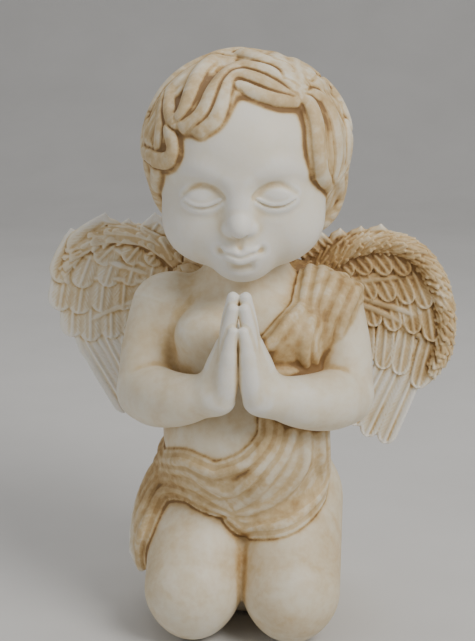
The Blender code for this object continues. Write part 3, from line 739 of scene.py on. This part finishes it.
def make_head():
    """The head, and its hair alone, on one grid."""
    clay = Clay((-60, -58, -14), (62, 76, 118), 0.65 * GRAIN)
    make_face(clay)
    hair = make_hair(clay)
    clay.join(hair, 1.2)
    clay.add(limb((0, -2, 14), 14, (0, 0, -2), 13), 4)
    return clay, hair


# ---------------------------------------------------------------- meshes


def skin_of(clay):
    """The clay's surface as points and four-sided faces."""
    band = clay.voxel * 3
    grid = openvdb.FloatGrid(band)
    grid.copyFromArray(np.clip(clay.field, -band, band))
    points, quads = grid.convertToQuads(isovalue=0)
    return points.astype(float) * clay.voxel + clay.low, quads[:, ::-1]


def mesh_of(name, points, faces):
    mesh = bpy.data.meshes.new(name)
    mesh.vertices.add(len(points))
    mesh.vertices.foreach_set("co", np.ascontiguousarray(points, np.float32).ravel())
    mesh.loops.add(faces.size)
    mesh.loops.foreach_set("vertex_index", np.ascontiguousarray(faces, np.int32).ravel())
    mesh.polygons.add(len(faces))
    mesh.polygons.foreach_set("loop_start", np.arange(0, faces.size, faces.shape[1], dtype=np.int32))
    mesh.update(calc_edges=True)
    mesh.shade_smooth()
    return mesh


def object_of(name, points, faces):
    obj = bpy.data.objects.new(name, mesh_of(name, points, faces))
    bpy.context.scene.collection.objects.link(obj)
    return obj


def to_scene(points):
    return (points + np.array([0, SPINE_Y, 0])) * MM


# ---------------------------------------------------------------- wings

# Everything here is drawn for the left wing as (x, z). The right one is built the same way and mirrored.
WING_Y, WING_SWEEP, WING_CUP, WING_DROOP = 38.0, 8.0, 11.0, 7.0
WING_START, WING_SPAN, WING_TOP, WING_DROP = 26.0, 75.0, 184.0, 90.0
WING_ROOT = ((22, 31, 168), 8, (27, 35.2, 150), 7.6)
HEART = (36, 162)  # where the plate's ribs fan out from
LEADING_EDGE = {  # (x, z) and radius
    LEFT: [
        ((30, 168), 7.5), ((48, 181), 6.4), ((66, 184.5), 5.6), ((82, 180), 5.4),
        ((93, 167), 5.2), ((98.5, 149), 4.9), ((97.5, 130), 4.2), ((90, 115), 2.6),
    ],
    RIGHT: [
        ((30, 168), 7), ((45, 180.5), 6), ((61, 186.5), 5.3),
        ((78, 185), 4.8), ((91, 176), 4), ((97.5, 163), 2.6),
    ],
}


class Row:
    """A row of feathers: their tips, and how far they lean out from straight down, inner to outer."""

    def __init__(self, tips, lean, length, width, lift, rim=0.0, groove=False):
        self.tips, self.lean, self.length, self.width = tips, lean, length, width
        self.lift, self.rim, self.groove = lift, rim, groove


FEATHERS = {
    RIGHT: [
        Row([(50, 103), (56.5, 98), (63, 94.6)], (-24, -31), 52, 11.5, 1.2, groove=True),
        Row([(51, 135), (61.5, 134), (72, 133), (83, 131.5), (92.5, 134)], (-4, 3), 31, 13.0, 2.0),
        Row([(46, 150), (55.5, 149), (66, 148), (77.5, 147), (89, 146), (99, 148)], (0, 11), 29, 13.4, 2.6),
        Row([(44, 163), (52, 162), (63, 161), (75, 160.5), (88.5, 160), (99.5, 163)],
            (10, 24), 28, 13.4, 3.0),
        Row([(40, 173), (52, 172), (64, 173), (79, 173), (93, 178)], (26, 52), 27, 13.4, 3.4),
    ],
    LEFT: [
        Row([(53, 90), (59.5, 84.5), (68.5, 81.2)], (-26, -22), 58, 10.5, 1.2, rim=0.5, groove=True),
        Row([(50, 124), (58.5, 122), (67.5, 119.5), (76, 117), (85.5, 110.5)],
            (4, -12), 33, 10.6, 1.9, rim=0.8),
        Row([(46, 144), (54, 143), (63.5, 141.5), (73.5, 139.5), (83.5, 138.5), (93, 135)],
            (16, 10), 31, 10.4, 2.3, rim=0.9),
        Row([(44, 157), (52.5, 156.5), (62, 155.5), (71.5, 155), (81, 154), (90, 152)],
            (34, 24), 29, 10.2, 2.6, rim=0.9),
        Row([(42, 167), (51, 168), (60, 169), (70, 169), (79.5, 169)], (46, 36), 27, 10.0, 2.9, rim=0.9),
    ],
}


class Down:
    """Small feathers along an edge: how many rows and feathers a row, their size, and how they fan."""

    def __init__(self, rows, count, length, width, lift, comb):
        self.angles = np.radians(np.linspace(-80, 195, rows))  # round the edge, from its front outwards
        self.count, self.length, self.width, self.lift, self.comb = count, length, width, lift, comb


DOWN = {LEFT: Down(12, 34, 6.6, 3.3, 0.8, 0.5), RIGHT: Down(7, 20, 11.0, 5.2, 0.9, 0.2)}
ROOT_DOWN = Down(7, 5, 11.0, 6.5, 1.1, 0.3)
DOWN_SEED = 5
QUILL, QUILL_HALF = 0.55, 0.6  # height and half width of a feather's middle rib
BARB, BARB_SPACING = 0.11, 1.9  # height and spacing of a feather's fine ribs
BACK_SHARE = 0.75  # how high feathers stand on the wing's back, against its front


def wing_depth(x, z):
    share = (x - WING_START) / WING_SPAN
    return WING_Y + WING_SWEEP * share - WING_CUP * share**2 - WING_DROOP * ((WING_TOP - z) / WING_DROP) ** 2


def wing_point(x, z):
    return np.array([x, wing_depth(x, z), z], float)


def wing_front(x, z):
    """The unit vector out of the wing's front at a place."""
    slope_x = wing_depth(x + 0.5, z) - wing_depth(x - 0.5, z)
    slope_z = wing_depth(x, z + 0.5) - wing_depth(x, z - 0.5)
    front = np.array([slope_x, -1.0, slope_z])
    return front / np.linalg.norm(front)


def bell(away, width):
    """One in the middle and falling off over this width."""
    return np.exp(-((away / width) ** 2))


def add_feather(clay, base, flow, front, length, width, lift, rim=0.0, groove=False, sink=1.0, phase=0.0):
    """A raised feather that stands on the wing's middle surface, highest at its rounded tip."""
    span = np.cross(front, flow)
    ends = np.stack([base - flow, base + flow * length])
    pad = width / 2 + lift + 4
    spans, (x, y, z) = clay.window(ends.min(0) - pad, ends.max(0) + pad)
    if not clay.field[spans].size:
        return
    x, y, z = x - base[0], y - base[1], z - base[2]
    along = x * flow[0] + y * flow[1] + z * flow[2]
    up = x * front[0] + y * front[1] + z * front[2]
    side = x * span[0] + y * span[1] + z * span[2]
    u = np.clip(along / length, 0, 1)
    round_end = np.clip(width * 0.55 / length, 0.05, 0.5)
    tip = np.sqrt(np.maximum(1 - (np.maximum(u - 1 + round_end, 0) / round_end) ** 2, 0))
    half = width / 2 * (0.7 + 0.3 * np.sin(np.clip(u / 0.6, 0, 1) * math.pi / 2)) * tip
    off = np.abs(side)
    crown = 1.3 * (off / (width / 2)) ** 2 * (0.4 + 0.6 * u)
    top = 1.1 + lift * u**0.8 - crown
    top = top + QUILL * bell(off, QUILL_HALF) * (1 - 0.5 * u) - 0.3 * bell(off - 1.5, 0.8)
    if rim:
        top = top + rim * bell(half - off - 1.0, 0.85) * np.clip(u * 3, 0, 1)
    if groove:
        top = top - 0.7 * bell(side - 1.6, 0.8)
    slant = (along * 0.75 - off * 1.15) * (2 * math.pi / BARB_SPACING)
    barbs = np.cos(slant + phase + 0.6 * np.sin(along * 0.7 + phase))
    top = top + BARB * barbs * np.clip(off / 1.5 - 0.4, 0, 1)
    wide, high = off - half, np.maximum(up - top, -sink - up)
    corner = 0.9
    a, b = wide + corner, high + corner
    distance = np.hypot(np.maximum(a, 0), np.maximum(b, 0)) + np.minimum(np.maximum(a, b), 0) - corner
    distance = np.maximum(distance, np.maximum(along - length, -1 - along))
    clay.field[spans] = smooth_min(clay.field[spans], distance.astype(np.float32), 0.25)


def add_row(clay, row):
    """A row on both faces of the wing, with a rib under each feather that ties it to the wing's heart."""
    leans = np.linspace(*row.lean, len(row.tips))
    for i, ((x, z), lean) in enumerate(zip(row.tips, np.radians(leans))):
        length = row.length * (1 + 0.04 * math.sin(2.3 * i + z))
        tip = wing_point(x, z)
        base = wing_point(x - math.sin(lean) * length, z + math.cos(lean) * length)
        flow = (tip - base) / np.linalg.norm(tip - base)
        for face in (1, -1):
            front = wing_front(x, z) * face
            front = front - flow * (front @ flow)
            front /= np.linalg.norm(front)
            raised = row.lift * (1 if face == 1 else BACK_SHARE)
            add_feather(
                clay, base, flow, front, length, row.width, raised, row.rim, row.groove, phase=1.7 * i + z
            )
        rib = [(wing_point(*HEART), 2.4), (base, 2.0), (tip - flow * row.width * 0.6, 0.9)]
        clay.add_tube(chain(rib, 10))


def add_down(clay, edge, down):
    """Small feathers all round a thick edge, combed outwards along it."""
    chance = np.random.default_rng(DOWN_SEED)
    rows = spline([(*point, radius) for point, radius in edge], down.count * 6 + 1)
    for row, angle in enumerate(down.angles):
        for i in range(row % 2 * 3, down.count * 6 - 9, 6):
            shift, tilt, size, rise = chance.uniform(-1, 1, 4)
            here = rows[i + int(round(2 * shift)) + 2]
            ahead = rows[i + int(round(2 * shift)) + 6]
            flow = ahead[:3] - here[:3]
            flow /= np.linalg.norm(flow)
            front = wing_front(here[0], here[2])
            outward = np.cross(front, flow)
            outward *= np.sign(outward[0] * (here[0] - HEART[0]) + outward[2] * (here[2] - HEART[1]))
            normal = front * math.cos(angle) + outward * math.sin(angle)
            around = outward * math.cos(angle) - front * math.sin(angle)
            comb = down.comb + 0.3 * tilt
            way = flow * math.cos(comb) + around * math.sin(comb)
            length, width = down.length * (1 + 0.16 * size), down.width * (1 + 0.14 * size)
            base = here[:3] + normal * (here[3] - 1.3 + 0.25 * rise) - way * length / 3
            add_feather(clay, base, way, normal, length, width, down.lift, sink=1.5, phase=i + row)


def make_wing(side):
    """The left wing is rimmed with down and has long, rimmed feathers. The right one has broad feathers."""
    clay = Clay((8, 14, 74), (112, 58, 204), 0.55 * GRAIN)
    edge = [(wing_point(*place), radius) for place, radius in LEADING_EDGE[side]]
    root, root_radius, root_end, root_end_radius = WING_ROOT
    clay.add_tube(chain([(root, root_radius), *edge], 60))
    clay.add(limb(*WING_ROOT), 4)
    for row in FEATHERS[side]:
        add_row(clay, row)
    add_down(clay, [(root, root_radius), (root_end, root_end_radius)], ROOT_DOWN)
    add_down(clay, [(root, root_radius), *edge], DOWN[side])
    return clay


# ---------------------------------------------------------------- patina, and painted shade

GROOVE_SIZE, FOLD_SIZE = 0.9, 2.6  # blurs that find fine grooves and broad folds
NEAR_SHADE_BLUR, FAR_SHADE_BLUR = (4.0, 3.0), (11.0, 6.0)  # blurs of how much clay crowds round, for the painted shade, and how far off the skin each is read


def blurred(field, sigma):
    """A Gaussian blur, with sigma in voxels."""
    reach = max(int(math.ceil(2.5 * sigma)), 1)
    offsets = np.arange(-reach, reach + 1)
    weights = np.exp(-0.5 * (offsets / sigma) ** 2)
    weights /= weights.sum()
    for axis in range(3):
        padded = np.pad(field, [(reach, reach) if a == axis else (0, 0) for a in range(3)], mode="edge")
        size = field.shape[axis]
        total = np.zeros_like(field)
        for offset, weight in zip(offsets, weights):
            cut = [slice(None)] * 3
            cut[axis] = slice(reach + offset, reach + offset + size)
            total += np.float32(weight) * padded[tuple(cut)]
        field = total
    return field


def hollowness(clay, sigma):
    """How far the clay closes in on each surface point: above zero in a groove, below on a ridge."""
    near = np.clip(clay.field, -REACH, REACH)
    return clay.like(-blurred(near, sigma / clay.voxel) / sigma)


def painted_shade_blocks(blocks):
    """Coarse blocks of how much clay stands near each place, close by and farther off, for the painted shade
    where parts crowd together.
    """
    whole = Clay((-118, -84, -8), (118, 112, 310), GUIDE_VOXEL)
    x, y, z = whole.grids()
    places = np.stack(np.broadcast_arrays(x, y, z), axis=-1).astype(float)
    filled = np.zeros(whole.field.shape, np.float32)
    for clay, to_local in blocks:
        local = to_local(places)
        top = clay.low + clay.voxel * (np.array(clay.field.shape) - 1)
        inside = ((local > clay.low) & (local < top)).all(-1)
        values = clay.sample(local[inside])
        filled[inside] = np.maximum(filled[inside], np.clip(0.5 - values / whole.voxel, 0, 1))
    return [whole.like(blurred(filled, blur / whole.voxel)) for blur, _ in (NEAR_SHADE_BLUR, FAR_SHADE_BLUR)]


# ---------------------------------------------------------------- putting the figure together

FIGURE_VOXEL = 0.85 * GRAIN
# A whole number of voxels, so that the gap between the palms is kept.
HALF_WIDTH = math.ceil(68 / FIGURE_VOXEL) * FIGURE_VOXEL
SHOULDER = ((39, 4, 152), 34, 14)
SHOULDER_FILL = {LEFT: 3.0, RIGHT: 9.0}
SHOULDER_UNDER_SASH = ((40, 5, 157), 17)
CREASE = 1.2
CLOTH_BLEND = 1.6
GLUE_GAP = 0.4
MOST_FIGURE, MOST_HEAD, MOST_WING = 300000, 190000, 150000  # triangles
SEAM_PASSES = 14  # rounds of smoothing of the seam between arm and body


def shoulder_blend(clay, side):
    """How wide the corner between arm and body is filled: most at the bare shoulder, least at the hands."""
    x, y, z = clay.grids()
    centre, outer, inner = SHOULDER
    away = np.sqrt((x - side * centre[0]) ** 2 + (y - centre[1]) ** 2 + (z - centre[2]) ** 2)
    return CREASE + SHOULDER_FILL[side] * np.clip((outer - away) / (outer - inner), 0, 1)


def plug_pocket():
    """The hole that the base plug closes, a little wider and deeper than the plug."""
    radius = (plug_high.x - plug_low.x) / 2 / MM + GLUE_GAP
    middle_x = (plug_high.x + plug_low.x) / 2 / MM
    top = plug_high.z / MM + GLUE_GAP

    def distance(x, y, z):
        return np.maximum(np.hypot(x - middle_x, y - PLUG_BEHIND_SPINE) - radius, z - top)

    low = (middle_x - radius, PLUG_BEHIND_SPINE - radius, -5)
    return Shape(distance, low, (middle_x + radius, PLUG_BEHIND_SPINE + radius, top))


def make_figure():
    """The body with its drape, and both arms, all on one grid."""
    guide = make_skin(Clay((-80, -90, -10), (80, 110, 215), GUIDE_VOXEL), 80)
    guide.add(ball(*SHOULDER_UNDER_SASH), 8, 80)
    skin = make_skin(Clay((-HALF_WIDTH, -68, 0), (HALF_WIDTH, 94, 204), FIGURE_VOXEL))
    dressed = skin.like(skin.field.copy())
    dressed.add(ball(*SHOULDER_UNDER_SASH), 6)
    drape = make_drape(dressed, guide)
    body = skin.like(smooth_min(skin.field, drape.field, CLOTH_BLEND))
    floor = SOLE_Z - body.grids()[2]
    body.field = np.maximum(body.field, floor)
    body.cut(plug_pocket())
    arms = {side: make_arm(body, side) for side in (LEFT, RIGHT)}
    whole = body.like(body.field.copy())
    for side, arm in arms.items():
        whole.field = smooth_min(whole.field, arm.field, shoulder_blend(whole, side))
    return body, arms, whole, drape


def thinned(name, points, faces, most):
    """Points and triangles of a surface, collapsed to at most this many triangles."""
    obj = object_of(name, points, faces)
    if 2 * len(faces) > most:
        obj.modifiers.new("fewer", "DECIMATE").ratio = most / (2 * len(faces))
    shaped = obj.evaluated_get(bpy.context.evaluated_depsgraph_get()).to_mesh()
    shaped.calc_loop_triangles()
    triangles = np.empty(len(shaped.loop_triangles) * 3, np.int32)
    shaped.loop_triangles.foreach_get("vertices", triangles)
    places = np.empty(len(shaped.vertices) * 3, np.float32)
    shaped.vertices.foreach_get("co", places)
    bpy.data.objects.remove(obj)
    return places.reshape(-1, 3).astype(float), triangles.reshape(-1, 3)


def normals_of(points, faces):
    """Unit normals at the points, each the mean of its faces' by area."""
    a, b, c = (points[faces[:, i]] for i in range(3))
    normal = np.cross(b - a, c - a)
    total = np.zeros_like(points)
    for i, axis in itertools.product(range(3), repeat=2):
        total[:, axis] += np.bincount(faces[:, i], normal[:, axis], len(points))
    return total / np.maximum(np.linalg.norm(total, axis=1, keepdims=True), 1e-12)


def evened(faces, chosen):
    """The chosen faces, with the ragged edge and the islands of the choice smoothed away."""
    count = faces.max() + 1
    uses = np.maximum(np.bincount(faces.ravel(), minlength=count), 1)
    share = chosen.astype(float)
    for _ in range(SEAM_PASSES):
        at_points = sum(np.bincount(faces[:, i], share, count) for i in range(3)) / uses
        share = at_points[faces].mean(1)
    return share > 0.5


def close_cuts(build):
    """Closes each open rim with a fan from its middle, inside the figure, and returns how many."""
    build.edges.index_update()
    build.verts.index_update()
    left = {edge.index: edge for edge in build.edges if edge.is_boundary}
    fans = []
    while left:
        front = [left.pop(next(iter(left)))]
        rim = []
        while front:
            edge = front.pop()
            rim.append(edge)
            for vert in edge.verts:
                front += [left.pop(near.index) for near in vert.link_edges if near.index in left]
        fans.append(rim)
    for rim in fans:
        corners = {vert.index: vert.co for edge in rim for vert in edge.verts}
        middle = build.verts.new(sum(corners.values(), Vector()) / len(corners))
        for edge in rim:
            loop = edge.link_loops[0]
            build.faces.new((loop.link_loop_next.vert, loop.vert, middle))
    return len(fans)


def split_off(name, points, faces, normals, values, chosen):
    """One casting from a surface, with its cut closed and its shading kept across the seam."""
    used, inverse = np.unique(faces[chosen], return_inverse=True)
    obj = object_of(name, to_scene(points[used]), inverse.reshape(-1, 3))
    for key, data in values.items():
        layer = obj.data.attributes.new(key, "FLOAT", "POINT")
        layer.data.foreach_set("value", data[used].astype(np.float32))
    build = bmesh.new()
    build.from_mesh(obj.data)
    caps = close_cuts(build)
    build.to_mesh(obj.data)
    build.free()
    obj.data.shade_smooth()
    kept = np.vstack([normals[used], np.tile((0.0, 0.0, 1.0), (caps, 1))])
    obj.data.normals_split_custom_set_from_vertices(kept)
    return obj


def wash_and_shade_values(clay, dressed, local, points, normals, shade_blocks):
    """How grooved, folded and crowded each point of a surface is, each from 0 to 1: grooves and folds for the
    antique wash, crowding for painted shade.

    "carved" is 1 on the dressed block, which is the cloth, hair or feathers, and 0 on smooth skin."""
    fine = hollowness(clay, GROOVE_SIZE).sample(local)
    broad = hollowness(clay, FOLD_SIZE).sample(local)
    close, far = shade_blocks
    return {
        "groove": np.clip(0.5 + fine * 1.4, 0, 1),
        "fold": np.clip(0.5 + broad * 1.2, 0, 1),
        # The next two: how much clay stands round a point close by and farther off, painted in the resin as
        # shade
        "near_shade": np.clip(close.sample(points + normals * NEAR_SHADE_BLUR[1]) * 1.15, 0, 1),
        "shade": np.clip(far.sample(points + normals * FAR_SHADE_BLUR[1]) * 1.6, 0, 1),
        "carved": np.clip(1.2 - dressed.sample(local) / 1.6, 0, 1),
    }


def to_figure(points):
    return points @ HEAD_TURN.T + HEAD_PIVOT


def to_head(points):
    return (points - HEAD_PIVOT) @ HEAD_TURN


def other_side(points):
    return points * (-1, 1, 1)


def as_it_is(points):
    return points


def add_castings():
    body, arms, whole, drape = make_figure()
    head, hair = make_head()
    wings = {LEFT: make_wing(LEFT), RIGHT: make_wing(RIGHT)}
    both_wings = [(wings[LEFT], as_it_is), (wings[RIGHT], other_side)]
    # How much clay crowds round each place, read later as painted shade between the parts
    shade_blocks = painted_shade_blocks([(whole, as_it_is), (head, to_head), *both_wings])

    castings = {}
    points, faces = thinned("figure", *skin_of(whole), MOST_FIGURE)
    normals = normals_of(points, faces)
    values = wash_and_shade_values(whole, drape, points, points, normals, shade_blocks)
    middles = points[faces].mean(1)
    part = np.zeros(len(faces), int)
    for side, arm in arms.items():
        nearer = (arm.sample(middles) < body.sample(middles)) & (middles[:, 0] * side > 0)
        part[evened(faces, nearer)] = side
    for name, side in (("body", 0), ("arm_left", LEFT), ("arm_right", RIGHT)):
        castings[name] = split_off(name + "_casting", points, faces, normals, values, part == side)

    for name, clay, dressed, place, flip, most in (
        ("head", head, hair, to_figure, 1, MOST_HEAD),
        ("wing_left", wings[LEFT], wings[LEFT], as_it_is, 1, MOST_WING),
        ("wing_right", wings[RIGHT], wings[RIGHT], other_side, -1, MOST_WING),
    ):
        local, faces = thinned(name, *skin_of(clay), most)
        points = place(local)
        faces = faces[:, ::flip]
        normals = normals_of(points, faces)
        values = wash_and_shade_values(clay, dressed, local, points, normals, shade_blocks)
        every = np.ones(len(faces), bool)
        castings[name] = split_off(name + "_casting", points, faces, normals, values, every)
    return castings


# ---------------------------------------------------------------- materials


class Nodes:
    """A material's node tree, written as short expressions."""

    def __init__(self, name):
        self.material = bpy.data.materials.new(name)
        self.material.use_nodes = True
        self.tree = self.material.node_tree
        self.shader = self.tree.nodes["Principled BSDF"]

    def put(self, socket, value):
        if isinstance(value, bpy.types.NodeSocket):
            self.tree.links.new(value, socket)
        else:
            socket.default_value = value

    def add(self, kind, **settings):
        node = self.tree.nodes.new(kind)
        for key, value in settings.items():
            setattr(node, key, value)
        return node

    def math(self, operation, a, b=0.0, clamp=False):
        node = self.add("ShaderNodeMath", operation=operation, use_clamp=clamp)
        self.put(node.inputs[0], a)
        self.put(node.inputs[1], b)
        return node.outputs[0]

    def attribute(self, name):
        return self.add("ShaderNodeAttribute", attribute_name=name).outputs["Fac"]

    def place(self):
        return self.add("ShaderNodeTexCoord").outputs["Object"]

    def noise(self, scale, detail=3.0, roughness=0.55, distortion=0.0):
        node = self.add("ShaderNodeTexNoise")
        self.put(node.inputs["Vector"], self.place())
        settings = {"Scale": scale, "Detail": detail, "Roughness": roughness, "Distortion": distortion}
        for key, value in settings.items():
            node.inputs[key].default_value = value
        return node.outputs["Fac"]

    def between(self, value, low, high, to_low=0.0, to_high=1.0):
        """The value's place from low to high, smoothly, as a number from to_low to to_high."""
        node = self.add("ShaderNodeMapRange", interpolation_type="SMOOTHSTEP")
        for socket, given in zip(node.inputs, (value, low, high, to_low, to_high)):
            self.put(socket, given)
        return node.outputs["Result"]

    def ramp(self, value, stops):
        node = self.add("ShaderNodeValToRGB")
        while len(node.color_ramp.elements) < len(stops):
            node.color_ramp.elements.new(0.5)
        for element, (place, colour) in zip(node.color_ramp.elements, stops):
            element.position = place
            element.color = (*colour, 1)
        self.put(node.inputs["Fac"], value)
        return node.outputs["Color"]

    def look(self, socket, value):
        """Sets one of the shader's own sockets, to a constant or to a node's output."""
        self.put(self.shader.inputs[socket], value)

    def bump(self, layers):
        """Bumps laid over each other, from (height, distance in metres, strength)."""
        normal = None
        for height, distance, strength in layers:
            node = self.add("ShaderNodeBump")
            node.inputs["Strength"].default_value = strength
            node.inputs["Distance"].default_value = distance
            self.put(node.inputs["Height"], height)
            if normal:
                self.put(node.inputs["Normal"], normal)
            normal = node.outputs["Normal"]
        self.look("Normal", normal)


SKIN_SHARE = 0.4  # how much of the wash is left in the creases of smooth skin
IVORY = (0.81, 0.785, 0.72)
CREAM = (0.76, 0.69, 0.54)
HONEY = (0.62, 0.47, 0.26)
OCHRE = (0.43, 0.27, 0.105)
UMBER = (0.24, 0.135, 0.05)


def resin(name, strength, everywhere=0.0, skin=0.3):
    """Ivory resin whose antique wash stays in the grooves and folds, and is wiped off what stands out, with
    painted shade laid on where the figure's parts crowd together.

    skin is the share of the broad painted shade that is left on smooth skin."""
    n = Nodes(name)
    groove, fold = n.attribute("groove"), n.attribute("fold")
    near_shade, shade = n.attribute("near_shade"), n.attribute("shade")
    deep = n.between(groove, 0.53, 0.95)
    hollow = n.between(fold, 0.5, 0.7)
    # Painted shade: darker where much clay crowds round, close by and farther off
    close_shade = n.between(near_shade, 0.14, 0.6)
    far_shade = n.between(shade, 0.2, 0.8)
    cloudy = n.between(n.noise(38, 4, 0.6, 0.4), 0.3, 0.7, 0.6, 1.25)
    streaky = n.between(n.noise(210, 3, 0.6), 0.3, 0.7, 0.82, 1.15)
    carved = n.attribute("carved")
    detail = n.math("ADD", n.math("MULTIPLY", deep, 0.24), n.math("MULTIPLY", hollow, 0.56))
    detail = n.math("MULTIPLY", detail, n.between(carved, 0.0, 1.0, SKIN_SHARE, 1.0))
    # broad is that painted shade, with only some of it kept on smooth skin
    broad = n.math("ADD", n.math("MULTIPLY", close_shade, 0.3), n.math("MULTIPLY", far_shade, 0.26))
    broad = n.math("MULTIPLY", broad, n.between(carved, 0.0, 1.0, skin, 1.0))
    # The antique wash and the painted shade together, in blotches
    wash_and_shade = n.math("MULTIPLY", n.math("ADD", detail, broad), n.math("MULTIPLY", cloudy, streaky))
    wash_and_shade = n.math("ADD", n.math("MULTIPLY", wash_and_shade, strength), everywhere)
    raised = n.between(groove, 0.49, 0.36)
    wash_and_shade = n.math("SUBTRACT", wash_and_shade, n.math("MULTIPLY", raised, 0.16), clamp=True)
    mottle = n.between(n.noise(14, 3, 0.5), 0.35, 0.7, 0.0, 0.06)
    tint = n.math("ADD", wash_and_shade, mottle, clamp=True)
    colour = n.ramp(tint, [(0.0, IVORY), (0.16, CREAM), (0.42, HONEY), (0.74, OCHRE), (1.0, UMBER)])
    n.look("Base Color", colour)
    rough = n.between(n.noise(60, 3), 0.3, 0.7, 0.46, 0.56)
    n.look("Roughness", n.math("ADD", rough, n.math("MULTIPLY", tint, 0.2), clamp=True))
    n.look("IOR", 1.48)
    n.look("Subsurface Weight", 0.12)
    n.look("Subsurface Radius", (0.0022, 0.0017, 0.0011))
    n.look("Subsurface Scale", 1.0)
    n.bump([
        (n.noise(90, 3, 0.5), 0.0005, 0.35),
        (n.noise(900, 2, 0.5), 0.00008, 0.35),
    ])
    return n.material


def steel(name):
    """Cut steel rod, drawn along its length."""
    n = Nodes(name)
    grain = n.noise(1400, 2)
    n.look("Base Color", n.ramp(grain, [(0.3, (0.46, 0.47, 0.49)), (0.7, (0.60, 0.61, 0.63))]))
    n.look("Metallic", 1.0)
    n.look("Roughness", n.between(grain, 0.3, 0.7, 0.25, 0.45))
    return n.material


def felt(name):
    """Pressed brown felt with matted fibres."""
    n = Nodes(name)
    fibre = n.noise(1600, 4, 0.7, 1.5)
    n.look("Base Color", n.ramp(fibre, [(0.3, (0.11, 0.075, 0.05)), (0.7, (0.24, 0.175, 0.12))]))
    n.look("Roughness", 0.95)
    n.bump([(fibre, 0.0003, 0.8)])
    return n.material


def plug_resin(name):
    """The plug's unpainted casting resin, with trowel marks."""
    n = Nodes(name)
    marks = n.noise(120, 4, 0.6, 0.6)
    n.look("Base Color", n.ramp(marks, [(0.3, (0.58, 0.53, 0.44)), (0.7, (0.70, 0.66, 0.57))]))
    n.look("Roughness", n.between(marks, 0.3, 0.7, 0.6, 0.8))
    n.bump([(marks, 0.0004, 0.5)])
    return n.material


def dress_castings(castings):
    looks = {
        "body": resin("resin_body", 1.1, skin=0.44),
        "arm_left": resin("resin_arms", 1.15, 0.02, skin=0.34),
        "head": resin("resin_head", 0.9, skin=0.14),
        # The left wing's stronger wash and flat tint darken it all over: partly a heavier wash, partly
        # painted shade, as if that wing stood in shade
        "wing_left": resin("resin_wing_left", 1.6, 0.09),
        "wing_right": resin("resin_wing_right", 1.0, 0.03),
    }
    looks["arm_right"] = looks["arm_left"]
    for name, piece in castings.items():
        piece.data.materials.append(looks[name])
        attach(piece, "root")
        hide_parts(name)


def dress_fittings():
    looks = {"dowel": steel("steel_dowel"), "felt": felt("brown_felt"), "plug": plug_resin("plug_resin")}
    for name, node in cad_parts.items():
        for word, look in looks.items():
            if word in name:
                node.data.materials.clear()
                node.data.materials.append(look)


# ---------------------------------------------------------------- floor, lights and camera


def floor_paper(name):
    n = Nodes(name)
    n.look("Base Color", n.ramp(n.noise(9, 3), [(0.3, (0.60, 0.59, 0.57)), (0.7, (0.64, 0.63, 0.61))]))
    n.look("Roughness", 0.8)
    n.bump([(n.noise(300, 2), 0.0002, 0.2)])
    return n.material


FLOOR_FRONT, FLOOR_BACK, FLOOR_BEND, FLOOR_TOP, FLOOR_HALF = -1.6, 1.1, 0.8, 2.6, 2.4  # metres


def make_floor():
    """A pale sheet that runs back and curves up behind, far from the figure."""
    bend = FLOOR_BEND
    curve = [(bend * math.sin(a), bend - bend * math.cos(a)) for a in np.linspace(0.1, math.pi / 2, 14)]
    profile = [(FLOOR_FRONT, 0.0), (FLOOR_BACK, 0.0)]
    profile += [(FLOOR_BACK + y, z) for y, z in curve]
    profile += [(FLOOR_BACK + bend, FLOOR_TOP)]
    build = bmesh.new()
    rows = [[build.verts.new((x, y, z)) for y, z in profile] for x in (-FLOOR_HALF, FLOOR_HALF)]
    for i in range(len(profile) - 1):
        build.faces.new((rows[0][i], rows[1][i], rows[1][i + 1], rows[0][i + 1]))
    mesh = bpy.data.meshes.new("studio_floor")
    build.to_mesh(mesh)
    build.free()
    mesh.shade_smooth()
    mesh.materials.append(floor_paper("pale_paper"))
    floor = bpy.data.objects.new("studio_floor", mesh)
    bpy.context.scene.collection.objects.link(floor)


def add_light(name, place, aim, size, power, colour):
    light = bpy.data.lights.new(name, "AREA")
    light.shape = "DISK"
    light.size, light.energy, light.color = size, power, colour
    lamp = bpy.data.objects.new(name, light)
    lamp.location = place
    lamp.rotation_euler = (Vector(aim) - Vector(place)).to_track_quat("-Z", "Y").to_euler()
    bpy.context.scene.collection.objects.link(lamp)


def add_lights():
    middle = (0, 0, 0.16)
    add_light("window", (0.85, -0.7, 1.1), middle, 0.8, 16.5, (1.0, 0.985, 0.96))
    add_light("fill", (-0.95, -0.7, 0.45), middle, 1.1, 2.4, (0.96, 0.98, 1.0))
    add_light("top", (-0.1, 0.35, 1.2), middle, 0.9, 4.0, (1.0, 0.99, 0.97))
    world = bpy.data.worlds.new("room")
    world.use_nodes = True
    world.node_tree.nodes["Background"].inputs["Color"].default_value = (0.80, 0.80, 0.82, 1)
    world.node_tree.nodes["Background"].inputs["Strength"].default_value = 0.36
    bpy.context.scene.world = world


SENSOR = 36.0  # the camera's sensor height, in mm


def add_camera():
    data = bpy.data.cameras.new("camera")
    data.sensor_fit = "VERTICAL"
    data.sensor_height = SENSOR
    data.lens = SENSOR * CAMERA_DISTANCE / SHEET_HEIGHT
    data.clip_start, data.clip_end = 0.05, 20
    camera = bpy.data.objects.new("camera", data)
    columns = (SHEET_X, SHEET_Y, -LINE_OF_SIGHT, to_scene(CAMERA))
    rows = [[float(column[row]) for column in columns] for row in range(3)]
    camera.matrix_world = Matrix(rows + [[0, 0, 0, 1]])
    bpy.context.scene.collection.objects.link(camera)
    bpy.context.scene.camera = camera


add_camera()
add_lights()
make_floor()
dress_castings(add_castings())
dress_fittings()
